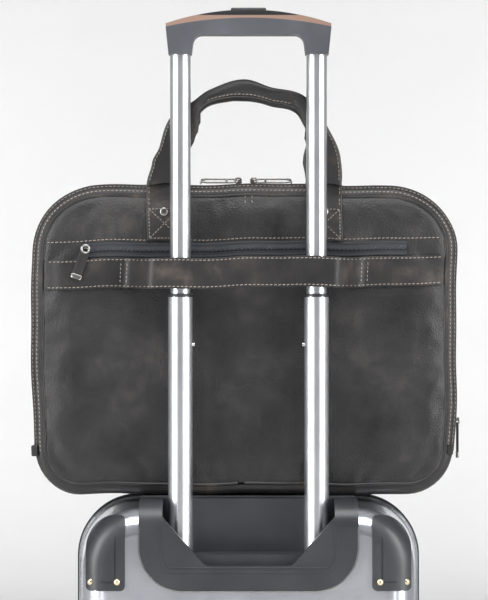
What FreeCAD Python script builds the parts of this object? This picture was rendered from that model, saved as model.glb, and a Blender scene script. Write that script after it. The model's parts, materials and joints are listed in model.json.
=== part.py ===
import FreeCAD, Part
import math
import os
import re

import Sketcher
from FreeCAD import Placement, Rotation, Vector

# A laptop briefcase that rides on the telescoping handle of a hard-shell case with four casters.
# Millimetres. +X is to the right and +Y points away from the trolley handle, which is at the back
# of both bags. Z = 0 is the floor, and the origin is under the middle of the wheeled case.

SIZES = {
    # wheeled case
    "case_width": 350,
    "case_depth": 230,
    "case_height": 485,
    "ground_gap": 58,
    "case_corner": 60,
    "case_edge": 26,
    "case_taper": 4,
    "shell_wall": 2.5,
    "case_tape": 10,
    "binding_width": 8,
    "binding_proud": 2.5,
    "rib_width": 3,
    "rib_proud": 1.2,
    "rib_pitch": 36.5,
    "guard_proud": 2.5,
    "guard_tall": 76,
    "guard_strip": 14,
    "guard_inset": 10,
    "guard_wrap": 36.4,
    "guard_drop": 13,
    "guard_sweep": 33,
    "guard_corner": 5,
    "guard_groove_x": 135,
    "guard_groove_z": 9,
    "groove_wide": 1.5,
    "groove_sunk": 0.8,
    "guard_rivet": 8,
    "rivet_sunk": 1.5,
    "lining_wall": 1.5,
    # bezel that the trolley handle sinks into
    "bezel_width": 222,
    "bezel_tall": 91.5,
    "bezel_corner": 45,
    "bezel_proud": 2.5,
    "bezel_top_proud": 1.5,
    "bezel_wall": 3,
    "bezel_lip": 12.5,
    "bezel_inner": 13,
    "well_deep": 54.5,
    "well_reach": 41,
    "well_margin": 3,
    "scoop_drop": 11,
    "scoop_floor_half": 44,
    "scoop_shoulder": 16,
    "tray_half": 80,
    "tray_deep": 24.5,
    "tray_margin": 6,
    "carry_wide": 28,
    "carry_thick": 5.5,
    "carry_rise": 2.5,
    "carry_half": 110,
    # trolley handle
    "tube_spacing": 139,
    "tube_y": -82,
    "tube_wall": 1.2,
    "upper_diameter": 21,
    "lower_diameter": 25,
    "sleeve_wall": 1.5,
    "sleeve_bottom": 100,
    "lower_bottom": 380,
    "lower_top": 751,
    "collar_tall": 3.5,
    "upper_bottom": 690,
    "lock_tall": 18,
    "lower_travel": 255,
    "rivet_z": 702.5,
    "rivet_diameter": 4,
    "rivet_proud": 2,
    "groove_width": 5,
    "groove_depth": 0.5,
    "grip_half": 84.3,
    "grip_deep": 28,
    "grip_bottom": 998,
    "grip_under": 1018,
    "grip_shoulder": 1026,
    "grip_sag": 9,
    "grip_lean": 2.8,
    "trim_thick": 3.2,
    "crown_sag": 14,
    "cover_level": 11.6,
    "cover_half": 50,
    "cover_round": 0.6,
    "grip_leg": 29,
    "button_half": 18,
    "button_deep": 19,
    "button_proud": 2.4,
    "button_travel": 3,
    "rod_diameter": 5,
    "yoke_thick": 3,
    "yoke_deep": 6,
    # casters
    "caster_inset": 50,
    "caster_spread": 75,
    "wheel_diameter": 50,
    "wheel_width": 20,
    "caster_trail": 14,
    "axle_diameter": 6,
    "fork_wall": 2.5,
    "crown_diameter": 36,
    "crown_thick": 2.5,
    "stem_diameter": 8,
    "stem_tall": 6,
    "housing_diameter": 48,
    # laptop bag
    "bag_x": -4.5,
    "bag_width": 436,
    "bag_height": 318,
    "bag_bottom": 548,
    "bag_back": -58,
    "bag_depth": 102,
    "bag_top_corner": 66,
    "bag_bottom_corner": 46,
    "bag_edge": 9,
    "leather": 4,
    "panel_inset": 12.5,
    "piping": 3,
    "base_tall": 44,
    "zip_sunk": 1,
    "zip_thick": 2,
    "main_zip_wide": 12,
    "main_zip_back": 24,
    "middle_wide": 22,
    "growth_zip_wide": 10,
    "pocket_half": 150,
    "pocket_low": 27,
    "pocket_tall": 215,
    "pocket_thick": 14,
    "sleeve_thick": 6,
    "strap_z": 776.3,
    "strap_width": 31.4,
    "strap_thick": 3,
    "strap_end": 204,
    "strap_sewn": 122,
    "strap_bridge": 93,
    "strap_reach": 39.5,
    "back_zip_z": 800.5,
    "back_zip_half": 166,
    "back_zip_tall": 15,
    "back_zip_thick": 2.5,
    "tab_offset": 82,
    "tab_width": 37,
    "tab_thick": 3.5,
    "tab_bottom": 809,
    "tab_drop": 5,
    "tab_rivet": 9,
    "tab_rivet_proud": 1.5,
    "handle_bottom": 868,
    "handle_off": 4,
    "handle_spread": 100,
    "handle_leg": 34,
    "handle_thick": 8,
    "handle_radius": 94,
    "handle_centre": 12,
    "handle_hip": 56,
    "handle_hip_rise": 57,
    "handle_bow": 28,
    # zip pulls
    "pin_diameter": 1.6,
    "pin_rise": 6.1,
    "slider_base": 2.2,
    "slider_long": 11,
    "slider_wide": 8,
    "cheek_wall": 1,
    "eye_diameter": 6,
    "eye_hole": 3.6,
    "eye_thick": 3,
    "puller_thick": 1.8,
    "main_puller_long": 40,
    "main_puller_wide": 8,
    "pocket_puller_long": 33,
    "pocket_puller_wide": 10,
    "side_puller_long": 42,
    "side_puller_wide": 7,
    "main_slider_gap": 7,
    "pocket_slider_x": -161,
    "pocket_puller_swing": 25,
    "side_slider_z": 623,
    # clearances
    "pass_gap": 0.3,
    "run_gap": 0.1,
    "seat_gap": 0.2,
    # Stops, seats and small allowances.
    "tool_over": 20,
    "tube_stop": 5,
    "yoke_lift": 5,
    "rod_stop": 7,
    "rod_gap": 1,
    "button_round": 2,
    "rib_stop": 4,
    "lining_stop": 8,
    "foot_thick": 6,
    "slot_over": 6,
    "rivet_slot": 6,
    "rivet_bite": 0.96,
    "rivet_near": 8,
    "rivet_far": 5.5,
    "guard_lift": 7,
    "wheel_gap": 0.8,
    "cheek_root": 0.5,
    "cheek_lead": 2,
    "tread_step": 2,
    "tread_deep": 9,
    "tread_wall": 8,
    "tread_round": 3,
    "sleeve_room": 2,
    "strap_lap": 1.2,
    "tab_rivet_drop": 30,
    "pin_sunk": 0.1,
    "main_slider_shift": 2,
}

# Heights and places that many pieces share, as formulas of the sizes above.
CASE_TOP = "(ground_gap + case_height)"
CASE_BACK = "(-case_depth / 2)"
BEZEL_TOP = f"({CASE_TOP} + bezel_top_proud)"
BEZEL_BACK = f"({CASE_BACK} - bezel_proud)"
BEZEL_BOTTOM = f"({BEZEL_TOP} - bezel_tall)"
WELL_BACK = f"({BEZEL_BACK} + bezel_lip)"
WELL_FRONT = f"({WELL_BACK} + well_reach)"
WELL_FLOOR = f"({BEZEL_TOP} - well_deep)"
WELL_HALF = "(grip_half + well_margin)"
TRAY_BACK = f"({WELL_FRONT} + tray_margin)"
TRAY_FRONT = "(-bezel_inner - bezel_wall)"
TRAY_MIDDLE = f"(({TRAY_BACK} + {TRAY_FRONT}) / 2)"
TRAY_FLOOR = f"({BEZEL_TOP} - tray_deep)"
CARRY_BOTTOM = f"({BEZEL_TOP} + carry_rise - carry_thick)"
TUBE_X = "(tube_spacing / 2)"
BAG_TOP = "(bag_bottom + bag_height)"
BAG_FRONT = "(bag_back + bag_depth)"
GRIP_ARC = "((grip_half^2 + grip_sag^2) / (2 * grip_sag))"
CROWN_ARC = "((grip_half^2 + crown_sag^2) / (2 * crown_sag))"
GRIP_TOP = "(grip_shoulder + trim_thick + crown_sag)"
TUBE_END = "(grip_bottom + tube_stop)"
YOKE_BOTTOM = "(grip_under + yoke_lift)"
CASTER_X = "(case_width / 2 - caster_inset)"
CROWN_LOW = "(wheel_diameter + 1)"
HOUSING_LOW = f"({CROWN_LOW} + crown_thick + pass_gap)"

# How closely an edge has to lie at a stated place, how far it may lean off an axis for its
# length, the least volume that a cut has to remove, and how long an edge across the case has
# to be to count as one of its four corners.
SAME_PLACE = 0.02
MOST_LEAN = 0.12
LEAST_CUT = 1e-6
LONG_EDGE = 50

doc = FreeCAD.newDocument("laptop_case_on_wheels")
sheet = doc.addObject("Spreadsheet::Sheet", "Sizes")
for row, (alias, number) in enumerate(SIZES.items(), start=1):
    sheet.set(f"A{row}", alias)
    sheet.set(f"B{row}", str(number))
    sheet.setAlias(f"B{row}", alias)
doc.recompute()

pieces = []


def cells(formula):
    """The formula with every size name pointed at its cell in the sheet."""
    return re.sub(r"[a-z][a-z_]*", lambda m: "Sizes." + m[0] if m[0] in SIZES else m[0], str(formula))


def value(formula):
    """What the formula comes to with the sheet's present sizes."""
    return float(sheet.evalExpression(cells(formula)))


def bind(thing, **properties):
    """Ties properties to formulas; two underscores stand for a dot in the property's name."""
    for name, formula in properties.items():
        thing.setExpression(name.replace("__", "."), cells(formula))


def place(thing, x=0, y=0, z=0, turn=None):
    """Puts a piece at x, y, z, turned by a rotation when one is given."""
    thing.Placement = Placement(Vector(value(x), value(y), value(z)), turn or Rotation())
    bind(thing, Placement__Base__x=x, Placement__Base__y=y, Placement__Base__z=z)
    return thing


def finished(thing, label):
    """Names a piece and puts it on the list of pieces to write out."""
    thing.Label = label
    pieces.append(thing)
    return thing


# Part primitives and booleans


def block(x0, x1, y0, y1, z0, z1):
    thing = doc.addObject("Part::Box", "block")
    bind(thing, Length=f"{x1} - ({x0})", Width=f"{y1} - ({y0})", Height=f"{z1} - ({z0})")
    place(thing, x0, y0, z0)
    doc.recompute()
    return thing


TURNS = {"x": Rotation(Vector(0, 1, 0), 90), "y": Rotation(Vector(1, 0, 0), -90), "z": Rotation()}


def rod(diameter, length, x, y, z, along="z"):
    thing = doc.addObject("Part::Cylinder", "rod")
    bind(thing, Radius=f"({diameter}) / 2", Height=length)
    place(thing, x, y, z, TURNS[along])
    doc.recompute()
    return thing


def ball(diameter, x, y, z):
    thing = doc.addObject("Part::Sphere", "ball")
    bind(thing, Radius=f"{diameter} / 2")
    place(thing, x, y, z)
    doc.recompute()
    return thing


def cut(base, tool):
    thing = doc.addObject("Part::Cut", "cut")
    thing.Base = base
    thing.Tool = tool
    doc.recompute()
    if thing.Shape.Volume >= base.Shape.Volume - LEAST_CUT:
        raise RuntimeError(f"{tool.Name} removes nothing from {base.Name}")
    return thing


def common(base, tool):
    thing = doc.addObject("Part::Common", "common")
    thing.Base = base
    thing.Tool = tool
    doc.recompute()
    return thing


def fuse(*shapes):
    thing = doc.addObject("Part::MultiFuse", "fuse")
    thing.Shapes = list(shapes)
    doc.recompute()
    return thing


def group(*shapes):
    """Separate solids that share one node."""
    thing = doc.addObject("Part::Compound", "group")
    thing.Links = list(shapes)
    doc.recompute()
    return thing


def rounded(base, radius, pick):
    """A Part::Fillet of one radius on the edges that pick chooses."""
    thing = doc.addObject("Part::Fillet", "rounded")
    thing.Base = base
    radius = value(radius)
    chosen = [i + 1 for i, edge in enumerate(base.Shape.Edges) if pick(edge)]
    thing.Edges = [(i, radius, radius) for i in chosen]
    doc.recompute()
    return thing


# Part Design bodies. Sketches lie on the body's own planes, at a height called start, and grow
# from there towards the positive side of the third axis.


def new_body(name):
    return doc.addObject("PartDesign::Body", name)


def origin_plane(body, role):
    return [f for f in body.Origin.OriginFeatures if f.Role == role][0]


def bulge(a, b, radius):
    """Centre and end angles of the arc from a to b that turns clockwise with this radius."""
    chord = b - a
    half = chord.Length / 2
    away = Vector(chord.y, -chord.x, 0).normalize()
    centre = (a + b) * 0.5 + away * math.sqrt(radius * radius - half * half)
    turn_b = math.atan2(b.y - centre.y, b.x - centre.x)
    turn_a = math.atan2(a.y - centre.y, a.x - centre.x)
    return centre, turn_b, turn_a


def sketch_on(body, plane, start, outline):
    """A closed outline. A corner is a pair of formulas, and a third one makes the side that
    leaves it a clockwise arc of that radius."""
    sketch = body.newObject("Sketcher::SketchObject", "outline")
    sketch.AttachmentSupport = [(origin_plane(body, plane + "_Plane"), "")]
    sketch.MapMode = "FlatFace"
    side = -1 if plane == "XZ" else 1
    bind(sketch, AttachmentOffset__Base__z=f"{side} * ({start})")
    corners = [Vector(value(c[0]), value(c[1]), 0) for c in outline]
    starts = []
    ends = []
    for i, corner in enumerate(outline):
        a = corners[i]
        b = corners[(i + 1) % len(corners)]
        if len(corner) == 2:
            sketch.addGeometry(Part.LineSegment(a, b), False)
            starts.append(1)
            ends.append(2)
            continue
        centre, low, high = bulge(a, b, value(corner[2]))
        circle = Part.Circle(centre, Vector(0, 0, 1), value(corner[2]))
        sketch.addGeometry(Part.ArcOfCircle(circle, low, high), False)
        starts.append(2)
        ends.append(1)
        bound = sketch.addConstraint(Sketcher.Constraint("Radius", i, value(corner[2])))
        bind(sketch, **{f"Constraints[{bound}]": corner[2]})
    for i in range(len(corners)):
        following = (i + 1) % len(corners)
        joint = (i, ends[i], following, starts[following])
        sketch.addConstraint(Sketcher.Constraint("Coincident", *joint))
    for i, corner in enumerate(outline):
        for kind, formula in (("DistanceX", corner[0]), ("DistanceY", corner[1])):
            bound = sketch.addConstraint(
                Sketcher.Constraint(kind, -1, 1, i, starts[i], value(formula))
            )
            bind(sketch, **{f"Constraints[{bound}]": formula})
    doc.recompute()
    return sketch


def circle_on(body, plane, start, x, y, diameter):
    sketch = body.newObject("Sketcher::SketchObject", "circle")
    sketch.AttachmentSupport = [(origin_plane(body, plane + "_Plane"), "")]
    sketch.MapMode = "FlatFace"
    side = -1 if plane == "XZ" else 1
    bind(sketch, AttachmentOffset__Base__z=f"{side} * ({start})")
    centre = Vector(value(x), value(y), 0)
    sketch.addGeometry(Part.Circle(centre, Vector(0, 0, 1), value(diameter) / 2), False)
    bound = sketch.addConstraint(Sketcher.Constraint("Diameter", 0, value(diameter)))
    bind(sketch, **{f"Constraints[{bound}]": diameter})
    for kind, formula in (("DistanceX", x), ("DistanceY", y)):
        bound = sketch.addConstraint(Sketcher.Constraint(kind, -1, 1, 0, 3, value(formula)))
        bind(sketch, **{f"Constraints[{bound}]": formula})
    doc.recompute()
    return sketch


def pad(body, plane, sketch, length, taper=None):
    feature = body.newObject("PartDesign::Pad", "pad")
    feature.Profile = sketch
    feature.Reversed = plane == "XZ"
    bind(feature, Length=length)
    if taper:
        bind(feature, TaperAngle=taper)
    sketch.Visibility = False
    doc.recompute()
    return feature


def pocket(body, plane, sketch, length):
    before = body.Shape.Volume
    feature = body.newObject("PartDesign::Pocket", "pocket")
    feature.Profile = sketch
    feature.Reversed = plane != "XZ"
    bind(feature, Length=length)
    doc.recompute()
    if body.Shape.Volume >= before - LEAST_CUT:
        raise RuntimeError(f"a pocket of {body.Name} cuts nothing")
    return feature


def smooth(body, radius, pick):
    """Rounds the body's edges that pick chooses."""
    chosen = [f"Edge{i + 1}" for i, edge in enumerate(body.Shape.Edges) if pick(edge)]
    if not chosen:
        raise RuntimeError(f"{body.Name} has no edge to round by {radius}")
    tip = body.Tip
    feature = body.newObject("PartDesign::Fillet", "edge")
    feature.Base = (tip, chosen)
    bind(feature, Radius=radius)
    doc.recompute()
    if "Invalid" in feature.State:
        raise RuntimeError(f"{body.Name} can't be rounded by {radius}")
    return feature


def along(axis, *places):
    """Picks straight edges that run along an axis; places limit them to (a, b) positions."""
    index = "XYZ".index(axis)
    others = [i for i in range(3) if i != index]

    def pick(edge):
        if len(edge.Vertexes) != 2:
            return False
        a, b = (v.Point for v in edge.Vertexes)
        slack = MOST_LEAN * abs(a[index] - b[index])
        if any(abs(a[i] - b[i]) > max(slack, SAME_PLACE) for i in others):
            return False
        return not places or any(
            all(abs(a[others[k]] - value(spot[k])) < SAME_PLACE for k in range(2))
            for spot in places
        )

    return pick


def at_level(axis, *levels):
    """Picks the edges that lie wholly in one of the planes at these levels of an axis."""
    index = "XYZ".index(axis)

    def pick(edge):
        box = edge.BoundBox
        low = (box.XMin, box.YMin, box.ZMin)[index]
        high = (box.XMax, box.YMax, box.ZMax)[index]
        spots = [value(v) for v in levels]
        return any(max(abs(low - v), abs(high - v)) < SAME_PLACE for v in spots)

    return pick


def rectangle(x0, x1, y0, y1):
    return [(x0, y0), (x0, y1), (x1, y1), (x1, y0)]


# Wheeled case


def shell_outline(more):
    half = f"(case_width / 2 + {more})"
    return rectangle(f"-{half}", half, f"ground_gap - {more}", f"{CASE_TOP} + {more}")


def half_solid(side, more):
    """One half of the case as a solid, bigger all round by more; side is -1 at the back."""
    body = new_body("half")
    depth = f"(case_depth / 2 - case_tape / 2 + {more})"
    sketch = sketch_on(body, "XZ", f"{side} * case_tape / 2", shell_outline(more))
    feature = body.newObject("PartDesign::Pad", "pad")
    feature.Profile = sketch
    feature.Reversed = side > 0
    bind(feature, Length=depth, TaperAngle="-case_taper")
    doc.recompute()
    smooth(body, f"case_corner + {more}", lambda e: e.BoundBox.YLength > LONG_EDGE)
    outer = value(f"case_depth / 2 + {more}")
    smooth(body, f"case_edge + {more}", at_level("Y", side * outer))
    return body


def case_slab(rear, width, more):
    """A plate with the case's outline, bigger all round by more."""
    body = new_body("slab")
    pad(body, "XZ", sketch_on(body, "XZ", rear, shell_outline(more)), width)
    smooth(body, f"case_corner + {more}", along("Y"))
    return body


def case_ring(rear, width, proud, thick):
    """A strip round the case at the zip."""
    return cut(case_slab(rear, width, proud), case_slab(rear, width, f"({proud} - {thick})"))


def ribs(side, low, high):
    """Upright ribs on the flat face of a shell, standing a little into its wall."""
    face = f"(case_depth / 2 + {0 if side > 0 else 'rib_proud'})"
    start = f"{side} * {face}" if side < 0 else f"{face} - shell_wall / 2"
    deep = "rib_proud + shell_wall / 2"
    return [
        block(
            f"{step} * rib_pitch - rib_width / 2",
            f"{step} * rib_pitch + rib_width / 2",
            start,
            f"{start} + {deep}",
            low,
            high,
        )
        for step in range(-3, 4)
    ]


def shell(side, label):
    outer = half_solid(side, 0)
    hollow = cut(outer, half_solid(side, "-shell_wall"))
    low = "ground_gap + case_corner"
    if side > 0:
        return outer, finished(fuse(hollow, *ribs(1, low, f"{CASE_TOP} - case_corner")), label)
    room = bezel_room("pass_gap")
    strips = ribs(-1, low, f"{BEZEL_BOTTOM} - pass_gap - rib_stop")
    return outer, finished(fuse(cut(hollow, room), *strips), label)


def bezel_room(more):
    """The space that the bezel takes out of the rear shell."""
    body = new_body("bezel_room")
    half = f"(bezel_width / 2 + {more})"
    top = f"{BEZEL_TOP} + tool_over"
    outline = rectangle(f"-{half}", half, f"{BEZEL_BOTTOM} - {more}", top)
    rear = f"{BEZEL_BACK} - tool_over"
    pad(body, "XZ", sketch_on(body, "XZ", rear, outline), f"-bezel_inner + {more} - ({rear})")
    corner = (half, f"{BEZEL_BOTTOM} - {more}")
    places = [(f"{sign}{corner[0]}", corner[1]) for sign in ("-", "")]
    smooth(body, f"bezel_corner + {more}", along("Y", *[(x, z) for x, z in places]))
    return body


def guard_plate(near, deep, edges, inner, outer, corner_z, other_z):
    """The outline of a corner guard run through the case: its corner nearest the case's own
    corner sweeps round in a large arc, and the other three are slightly rounded."""
    body = new_body("guard")
    low, high = sorted((corner_z, other_z), key=value)
    pad(body, "XZ", sketch_on(body, "XZ", near, rectangle(*edges, low, high)), deep)
    smooth(body, "guard_sweep", along("Y", (outer, corner_z)))
    others = [(inner, corner_z), (inner, other_z), (outer, other_z)]
    smooth(body, "guard_corner", along("Y", *others))
    return body


def corner_skins(outer_rear, outer_front):
    """Guards that wrap the case's corners: the skin between the shell and a larger copy."""
    inner = "(bezel_width / 2 + guard_strip)"
    outer = "(case_width / 2 - guard_inset)"
    top = f"({CASE_TOP} - guard_drop)"
    low = "(ground_gap + guard_drop + guard_lift)"
    levels = (
        (top, f"({top} - guard_tall)", -1),
        (low, f"({low} + guard_tall)", 1),
    )
    larger = []
    for side, solid, label in ((-1, outer_rear, "rear"), (1, outer_front, "front")):
        larger.append(half_solid(side, "guard_proud"))
        skin = cut(larger[-1], solid)
        guards = []
        near = "-case_depth / 2 - guard_proud" if side < 0 else "case_depth / 2 - guard_wrap"
        deep = "guard_proud + guard_wrap"
        face = f"{side} * (case_depth / 2 + guard_proud)"
        for corner_z, other_z, upward in levels:
            for sign in (-1, 1):
                x0, x1 = f"{sign} * {inner}", f"{sign} * {outer}"
                edges = (x0, x1) if sign > 0 else (x1, x0)
                plate = guard_plate(near, deep, edges, x0, x1, corner_z, other_z)
                groove = f"{other_z} - {upward} * guard_groove_z"
                upright = sorted((groove, f"{corner_z} + {upward} * guard_groove_z"), key=value)
                lines = fuse(
                    block(
                        f"{sign} * guard_groove_x - groove_wide / 2",
                        f"{sign} * guard_groove_x + groove_wide / 2",
                        f"{face} - groove_sunk", f"{face} + groove_sunk", *upright,
                    ),
                    block(
                        *(f"{x} {way} guard_corner / 2" for x, way in zip(edges, "+-")),
                        f"{face} - groove_sunk", f"{face} + groove_sunk",
                        f"{groove} - groove_wide / 2", f"{groove} + groove_wide / 2",
                    ),
                )
                guards.append(cut(common(skin, plate), lines))
        finished(group(*guards), f"{label}_corner_guards")
    rivets = []
    bend = "(case_edge + guard_proud)"
    lean = "((case_depth - case_tape) / 2 * tan(case_taper * 1deg))"
    flat = f"(case_width / 2 - {lean} - case_edge)"
    round_off = f"({bend} - sqrt({bend}^2 - ({outer} - rivet_far - {flat})^2))"
    for side, whole in ((-1, larger[0]), (1, larger[1])):
        for sign in (-1, 1):
            for x, back in (
                (f"({inner} + rivet_near)", "0"),
                (f"({outer} - rivet_far)", round_off),
            ):
                y = f"{side} * (case_depth / 2 + guard_proud - {back} - rivet_sunk)"
                z = f"{top} - guard_tall + guard_groove_z"
                rivets.append(cut(ball("guard_rivet", f"{sign} * {x}", y, z), whole))
    finished(group(*rivets), "guard_rivets")


def bezel():
    body = new_body("bezel")
    half = "bezel_width / 2"
    outline = rectangle(f"-{half}", half, BEZEL_BOTTOM, BEZEL_TOP)
    depth = f"-bezel_inner - {BEZEL_BACK}"
    pad(body, "XZ", sketch_on(body, "XZ", BEZEL_BACK, outline), depth)
    corners = [(f"-{half}", BEZEL_BOTTOM), (half, BEZEL_BOTTOM)]
    smooth(body, "bezel_corner", along("Y", *corners))

    def rear_top(edge):
        return at_level("Z", BEZEL_TOP)(edge) and at_level("Y", BEZEL_BACK)(edge)

    smooth(body, "case_edge", rear_top)

    well = rectangle(f"-{WELL_HALF}", WELL_HALF, WELL_FLOOR, f"{BEZEL_TOP} + 1")
    pocket(body, "XZ", sketch_on(body, "XZ", WELL_BACK, well), "well_reach")

    low = f"{WELL_FLOOR} - scoop_drop"
    shoulder = f"{BEZEL_TOP} - scoop_shoulder"
    scoop = [
        ("-scoop_floor_half", low),
        (f"-{WELL_HALF}", shoulder),
        (f"-{WELL_HALF}", f"{BEZEL_TOP} + 1"),
        (WELL_HALF, f"{BEZEL_TOP} + 1"),
        (WELL_HALF, shoulder),
        ("scoop_floor_half", low),
    ]
    pocket(body, "XZ", sketch_on(body, "XZ", BEZEL_BACK, scoop), "bezel_lip")
    smooth(body, "scoop_drop", along("Y", ("-scoop_floor_half", low), ("scoop_floor_half", low)))

    tray = rectangle("-tray_half", "tray_half", TRAY_FLOOR, f"{BEZEL_TOP} + 1")
    pocket(body, "XZ", sketch_on(body, "XZ", TRAY_BACK, tray), f"{TRAY_FRONT} - ({TRAY_BACK})")

    inside = "(bezel_width / 2 - bezel_wall)"
    under = rectangle(f"-{inside}", inside, BEZEL_BOTTOM, f"{WELL_FLOOR} - bezel_wall")
    rear = f"{WELL_BACK} + bezel_wall"
    pocket(body, "XZ", sketch_on(body, "XZ", rear, under), f"-bezel_inner - ({rear})")
    behind = rectangle(
        f"-{inside}", inside, f"{WELL_FLOOR} - bezel_wall - 1", f"{TRAY_FLOOR} - bezel_wall"
    )
    rear = f"{WELL_FRONT} + bezel_wall"
    pocket(body, "XZ", sketch_on(body, "XZ", rear, behind), f"-bezel_inner - ({rear})")

    rest = rectangle(
        f"-{half}", half, f"{TRAY_MIDDLE} - carry_wide / 2 - seat_gap",
        f"{TRAY_MIDDLE} + carry_wide / 2 + seat_gap",
    )
    pocket(body, "XY", sketch_on(body, "XY", CARRY_BOTTOM, rest), "carry_thick")

    for sign in ("-", ""):
        hole = "lower_diameter + 2 * (pass_gap + sleeve_wall + seat_gap)"
        floor = f"{WELL_FLOOR} - bezel_wall"
        circle = circle_on(body, "XY", floor, f"{sign}{TUBE_X}", "tube_y", hole)
        pocket(body, "XY", circle, "bezel_wall")
        reach = f"{TUBE_X} - lower_diameter / 2 - rivet_proud - 2"
        notch = rectangle(
            f"{sign}({reach})", f"{sign}{TUBE_X}",
            "tube_y - rivet_diameter", "tube_y + rivet_diameter",
        )
        pocket(body, "XY", sketch_on(body, "XY", floor, notch), "bezel_wall")
    finished(body, "trolley_bezel")


def carry_handle():
    """A strap handle that lies in the bezel's top, over a tray for the fingers."""
    bar = block(
        "-carry_half", "carry_half",
        f"{TRAY_MIDDLE} - carry_wide / 2", f"{TRAY_MIDDLE} + carry_wide / 2",
        CARRY_BOTTOM, f"{CARRY_BOTTOM} + carry_thick",
    )
    finished(rounded(bar, "carry_thick / 3", along("X")), "top_carry_handle")


def sleeves():
    """Fixed tubes in the case, slotted inward for the lower stage's guide rivets."""
    bore = "(lower_diameter + 2 * pass_gap)"
    outside = f"({bore} + 2 * sleeve_wall)"
    tubes = []
    for sign in ("-", ""):
        x = f"{sign}{TUBE_X}"
        length = f"{WELL_FLOOR} - sleeve_bottom"
        skin = rod(outside, length, x, "tube_y", "sleeve_bottom")
        tube = cut(skin, rod(bore, length, x, "tube_y", "sleeve_bottom"))
        edges = (f"{sign}({TUBE_X} - {outside} / 2 - 1)", x)
        x0, x1 = edges if sign == "" else edges[::-1]
        slot = block(
            x0, x1, "tube_y - rivet_slot / 2", "tube_y + rivet_slot / 2",
            "rivet_z - lower_travel - slot_over", WELL_FLOOR,
        )
        tubes.append(cut(tube, slot))
    finished(group(*tubes), "trolley_sleeves")
    foot = block(
        f"-{TUBE_X} - {outside} / 2 - 3", f"{TUBE_X} + {outside} / 2 + 3",
        f"{CASE_BACK} + shell_wall / 2", f"tube_y + {outside} / 2 + 1",
        "sleeve_bottom - foot_thick", "sleeve_bottom",
    )
    return foot


def case_inside(foot, rear_shell):
    finished(cut(foot, rear_shell), "sleeve_foot")
    half = "(case_width / 2 - case_edge)"
    lining = block(
        f"-{half}", half, f"{WELL_FRONT} + 1", f"{WELL_FRONT} + 1 + lining_wall",
        "ground_gap + case_edge", f"{BEZEL_BOTTOM} - lining_stop",
    )
    finished(lining, "rear_lining")
    inside = "(case_width / 2 - shell_wall - 1)"
    panel = new_body("panel")
    low = "ground_gap + shell_wall + 1"
    outline = rectangle(f"-{inside}", inside, low, f"{CASE_TOP} - shell_wall - 1")
    pad(panel, "XZ", sketch_on(panel, "XZ", "-lining_wall", outline), "2 * lining_wall")
    smooth(panel, "case_corner - shell_wall - 1", along("Y"))
    finished(panel, "divider_panel")


# Casters, each built about its own swivel axis


def caster_housings(outer_rear, outer_front):
    cups = []
    for side, solid in ((-1, outer_rear), (1, outer_front)):
        for sign in (-1, 1):
            x = f"{sign} * {CASTER_X}"
            y = f"{side} * caster_spread"
            cup = rod("housing_diameter", "2 * case_edge", x, y, HOUSING_LOW)
            hole = rod(
                "stem_diameter + 2 * run_gap", "stem_tall + pass_gap", x, y, HOUSING_LOW
            )
            cups.append(cut(cut(cup, solid), hole))
    finished(group(*cups), "caster_housings")


def caster(name, sign, side):
    x = f"{sign} * {CASTER_X}"
    y = f"{side} * caster_spread"
    trail = "caster_trail"
    axle_z = "wheel_diameter / 2"
    crown_z = CROWN_LOW
    gap = "(wheel_width / 2 + wheel_gap)"
    cheek = [
        ("-crown_diameter / 3", f"{crown_z} + cheek_root"),
        (f"{trail} + cheek_lead", f"{crown_z} + cheek_root"),
        (f"{trail} + axle_diameter", axle_z),
        (f"{trail} + axle_diameter / 2", f"{axle_z} - axle_diameter"),
        (f"{trail} - axle_diameter / 2", f"{axle_z} - axle_diameter"),
        (f"{trail} - axle_diameter", axle_z),
    ]
    fork = new_body("fork")
    pad(fork, "XY", circle_on(fork, "XY", crown_z, 0, 0, "crown_diameter"), "crown_thick")
    for start in (gap, f"-{gap} - fork_wall"):
        pad(fork, "YZ", sketch_on(fork, "YZ", start, cheek), "fork_wall")
    pin = circle_on(fork, "YZ", f"-{gap}", trail, axle_z, "axle_diameter")
    pad(fork, "YZ", pin, f"2 * {gap}")
    stem = circle_on(fork, "XY", f"{crown_z} + crown_thick", 0, 0, "stem_diameter")
    pad(fork, "XY", stem, "stem_tall")
    finished(place(fork, x, y, 0), f"caster_fork_{name}")

    wheel = new_body("wheel")
    half = "wheel_width / 2"
    bore = "(axle_diameter / 2 + run_gap)"
    tread = "wheel_diameter / 2"
    profile = [
        (f"-{half}", bore),
        (f"-{half}", "axle_diameter"),
        (f"-{half} + 2", "axle_diameter + 1"),
        (f"-{half} + tread_step", f"{tread} - tread_deep"),
        (f"-{half}", f"{tread} - tread_wall"),
        (f"-{half}", f"{tread} - tread_round"),
        (f"-{half} + tread_round", tread),
        (f"{half} - tread_round", tread),
        (half, f"{tread} - tread_round"),
        (half, f"{tread} - tread_wall"),
        (f"{half} - tread_step", f"{tread} - tread_deep"),
        (f"{half} - 2", "axle_diameter + 1"),
        (half, "axle_diameter"),
        (half, bore),
    ]
    sketch = sketch_on(wheel, "XY", 0, profile)
    turned = wheel.newObject("PartDesign::Revolution", "turned")
    turned.Profile = sketch
    turned.ReferenceAxis = (sketch, ["H_Axis"])
    turned.Angle = 360
    doc.recompute()
    finished(place(wheel, x, f"{y} + {trail}", axle_z), f"caster_wheel_{name}")


# Trolley handle


def tube(x, diameter, low, high):
    """A tube with a shallow groove down its back and its front."""
    length = f"{high} - {low}"
    skin = cut(
        rod(diameter, length, x, "tube_y", low),
        rod(f"{diameter} - 2 * tube_wall", length, x, "tube_y", low),
    )
    for face in ("-1", "1"):
        near = f"tube_y + {face} * {diameter} / 2"
        groove = block(
            f"{x} - groove_width / 2", f"{x} + groove_width / 2",
            f"{near} - groove_depth", f"{near} + groove_depth", low, high,
        )
        skin = cut(skin, groove)
    return skin


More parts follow.
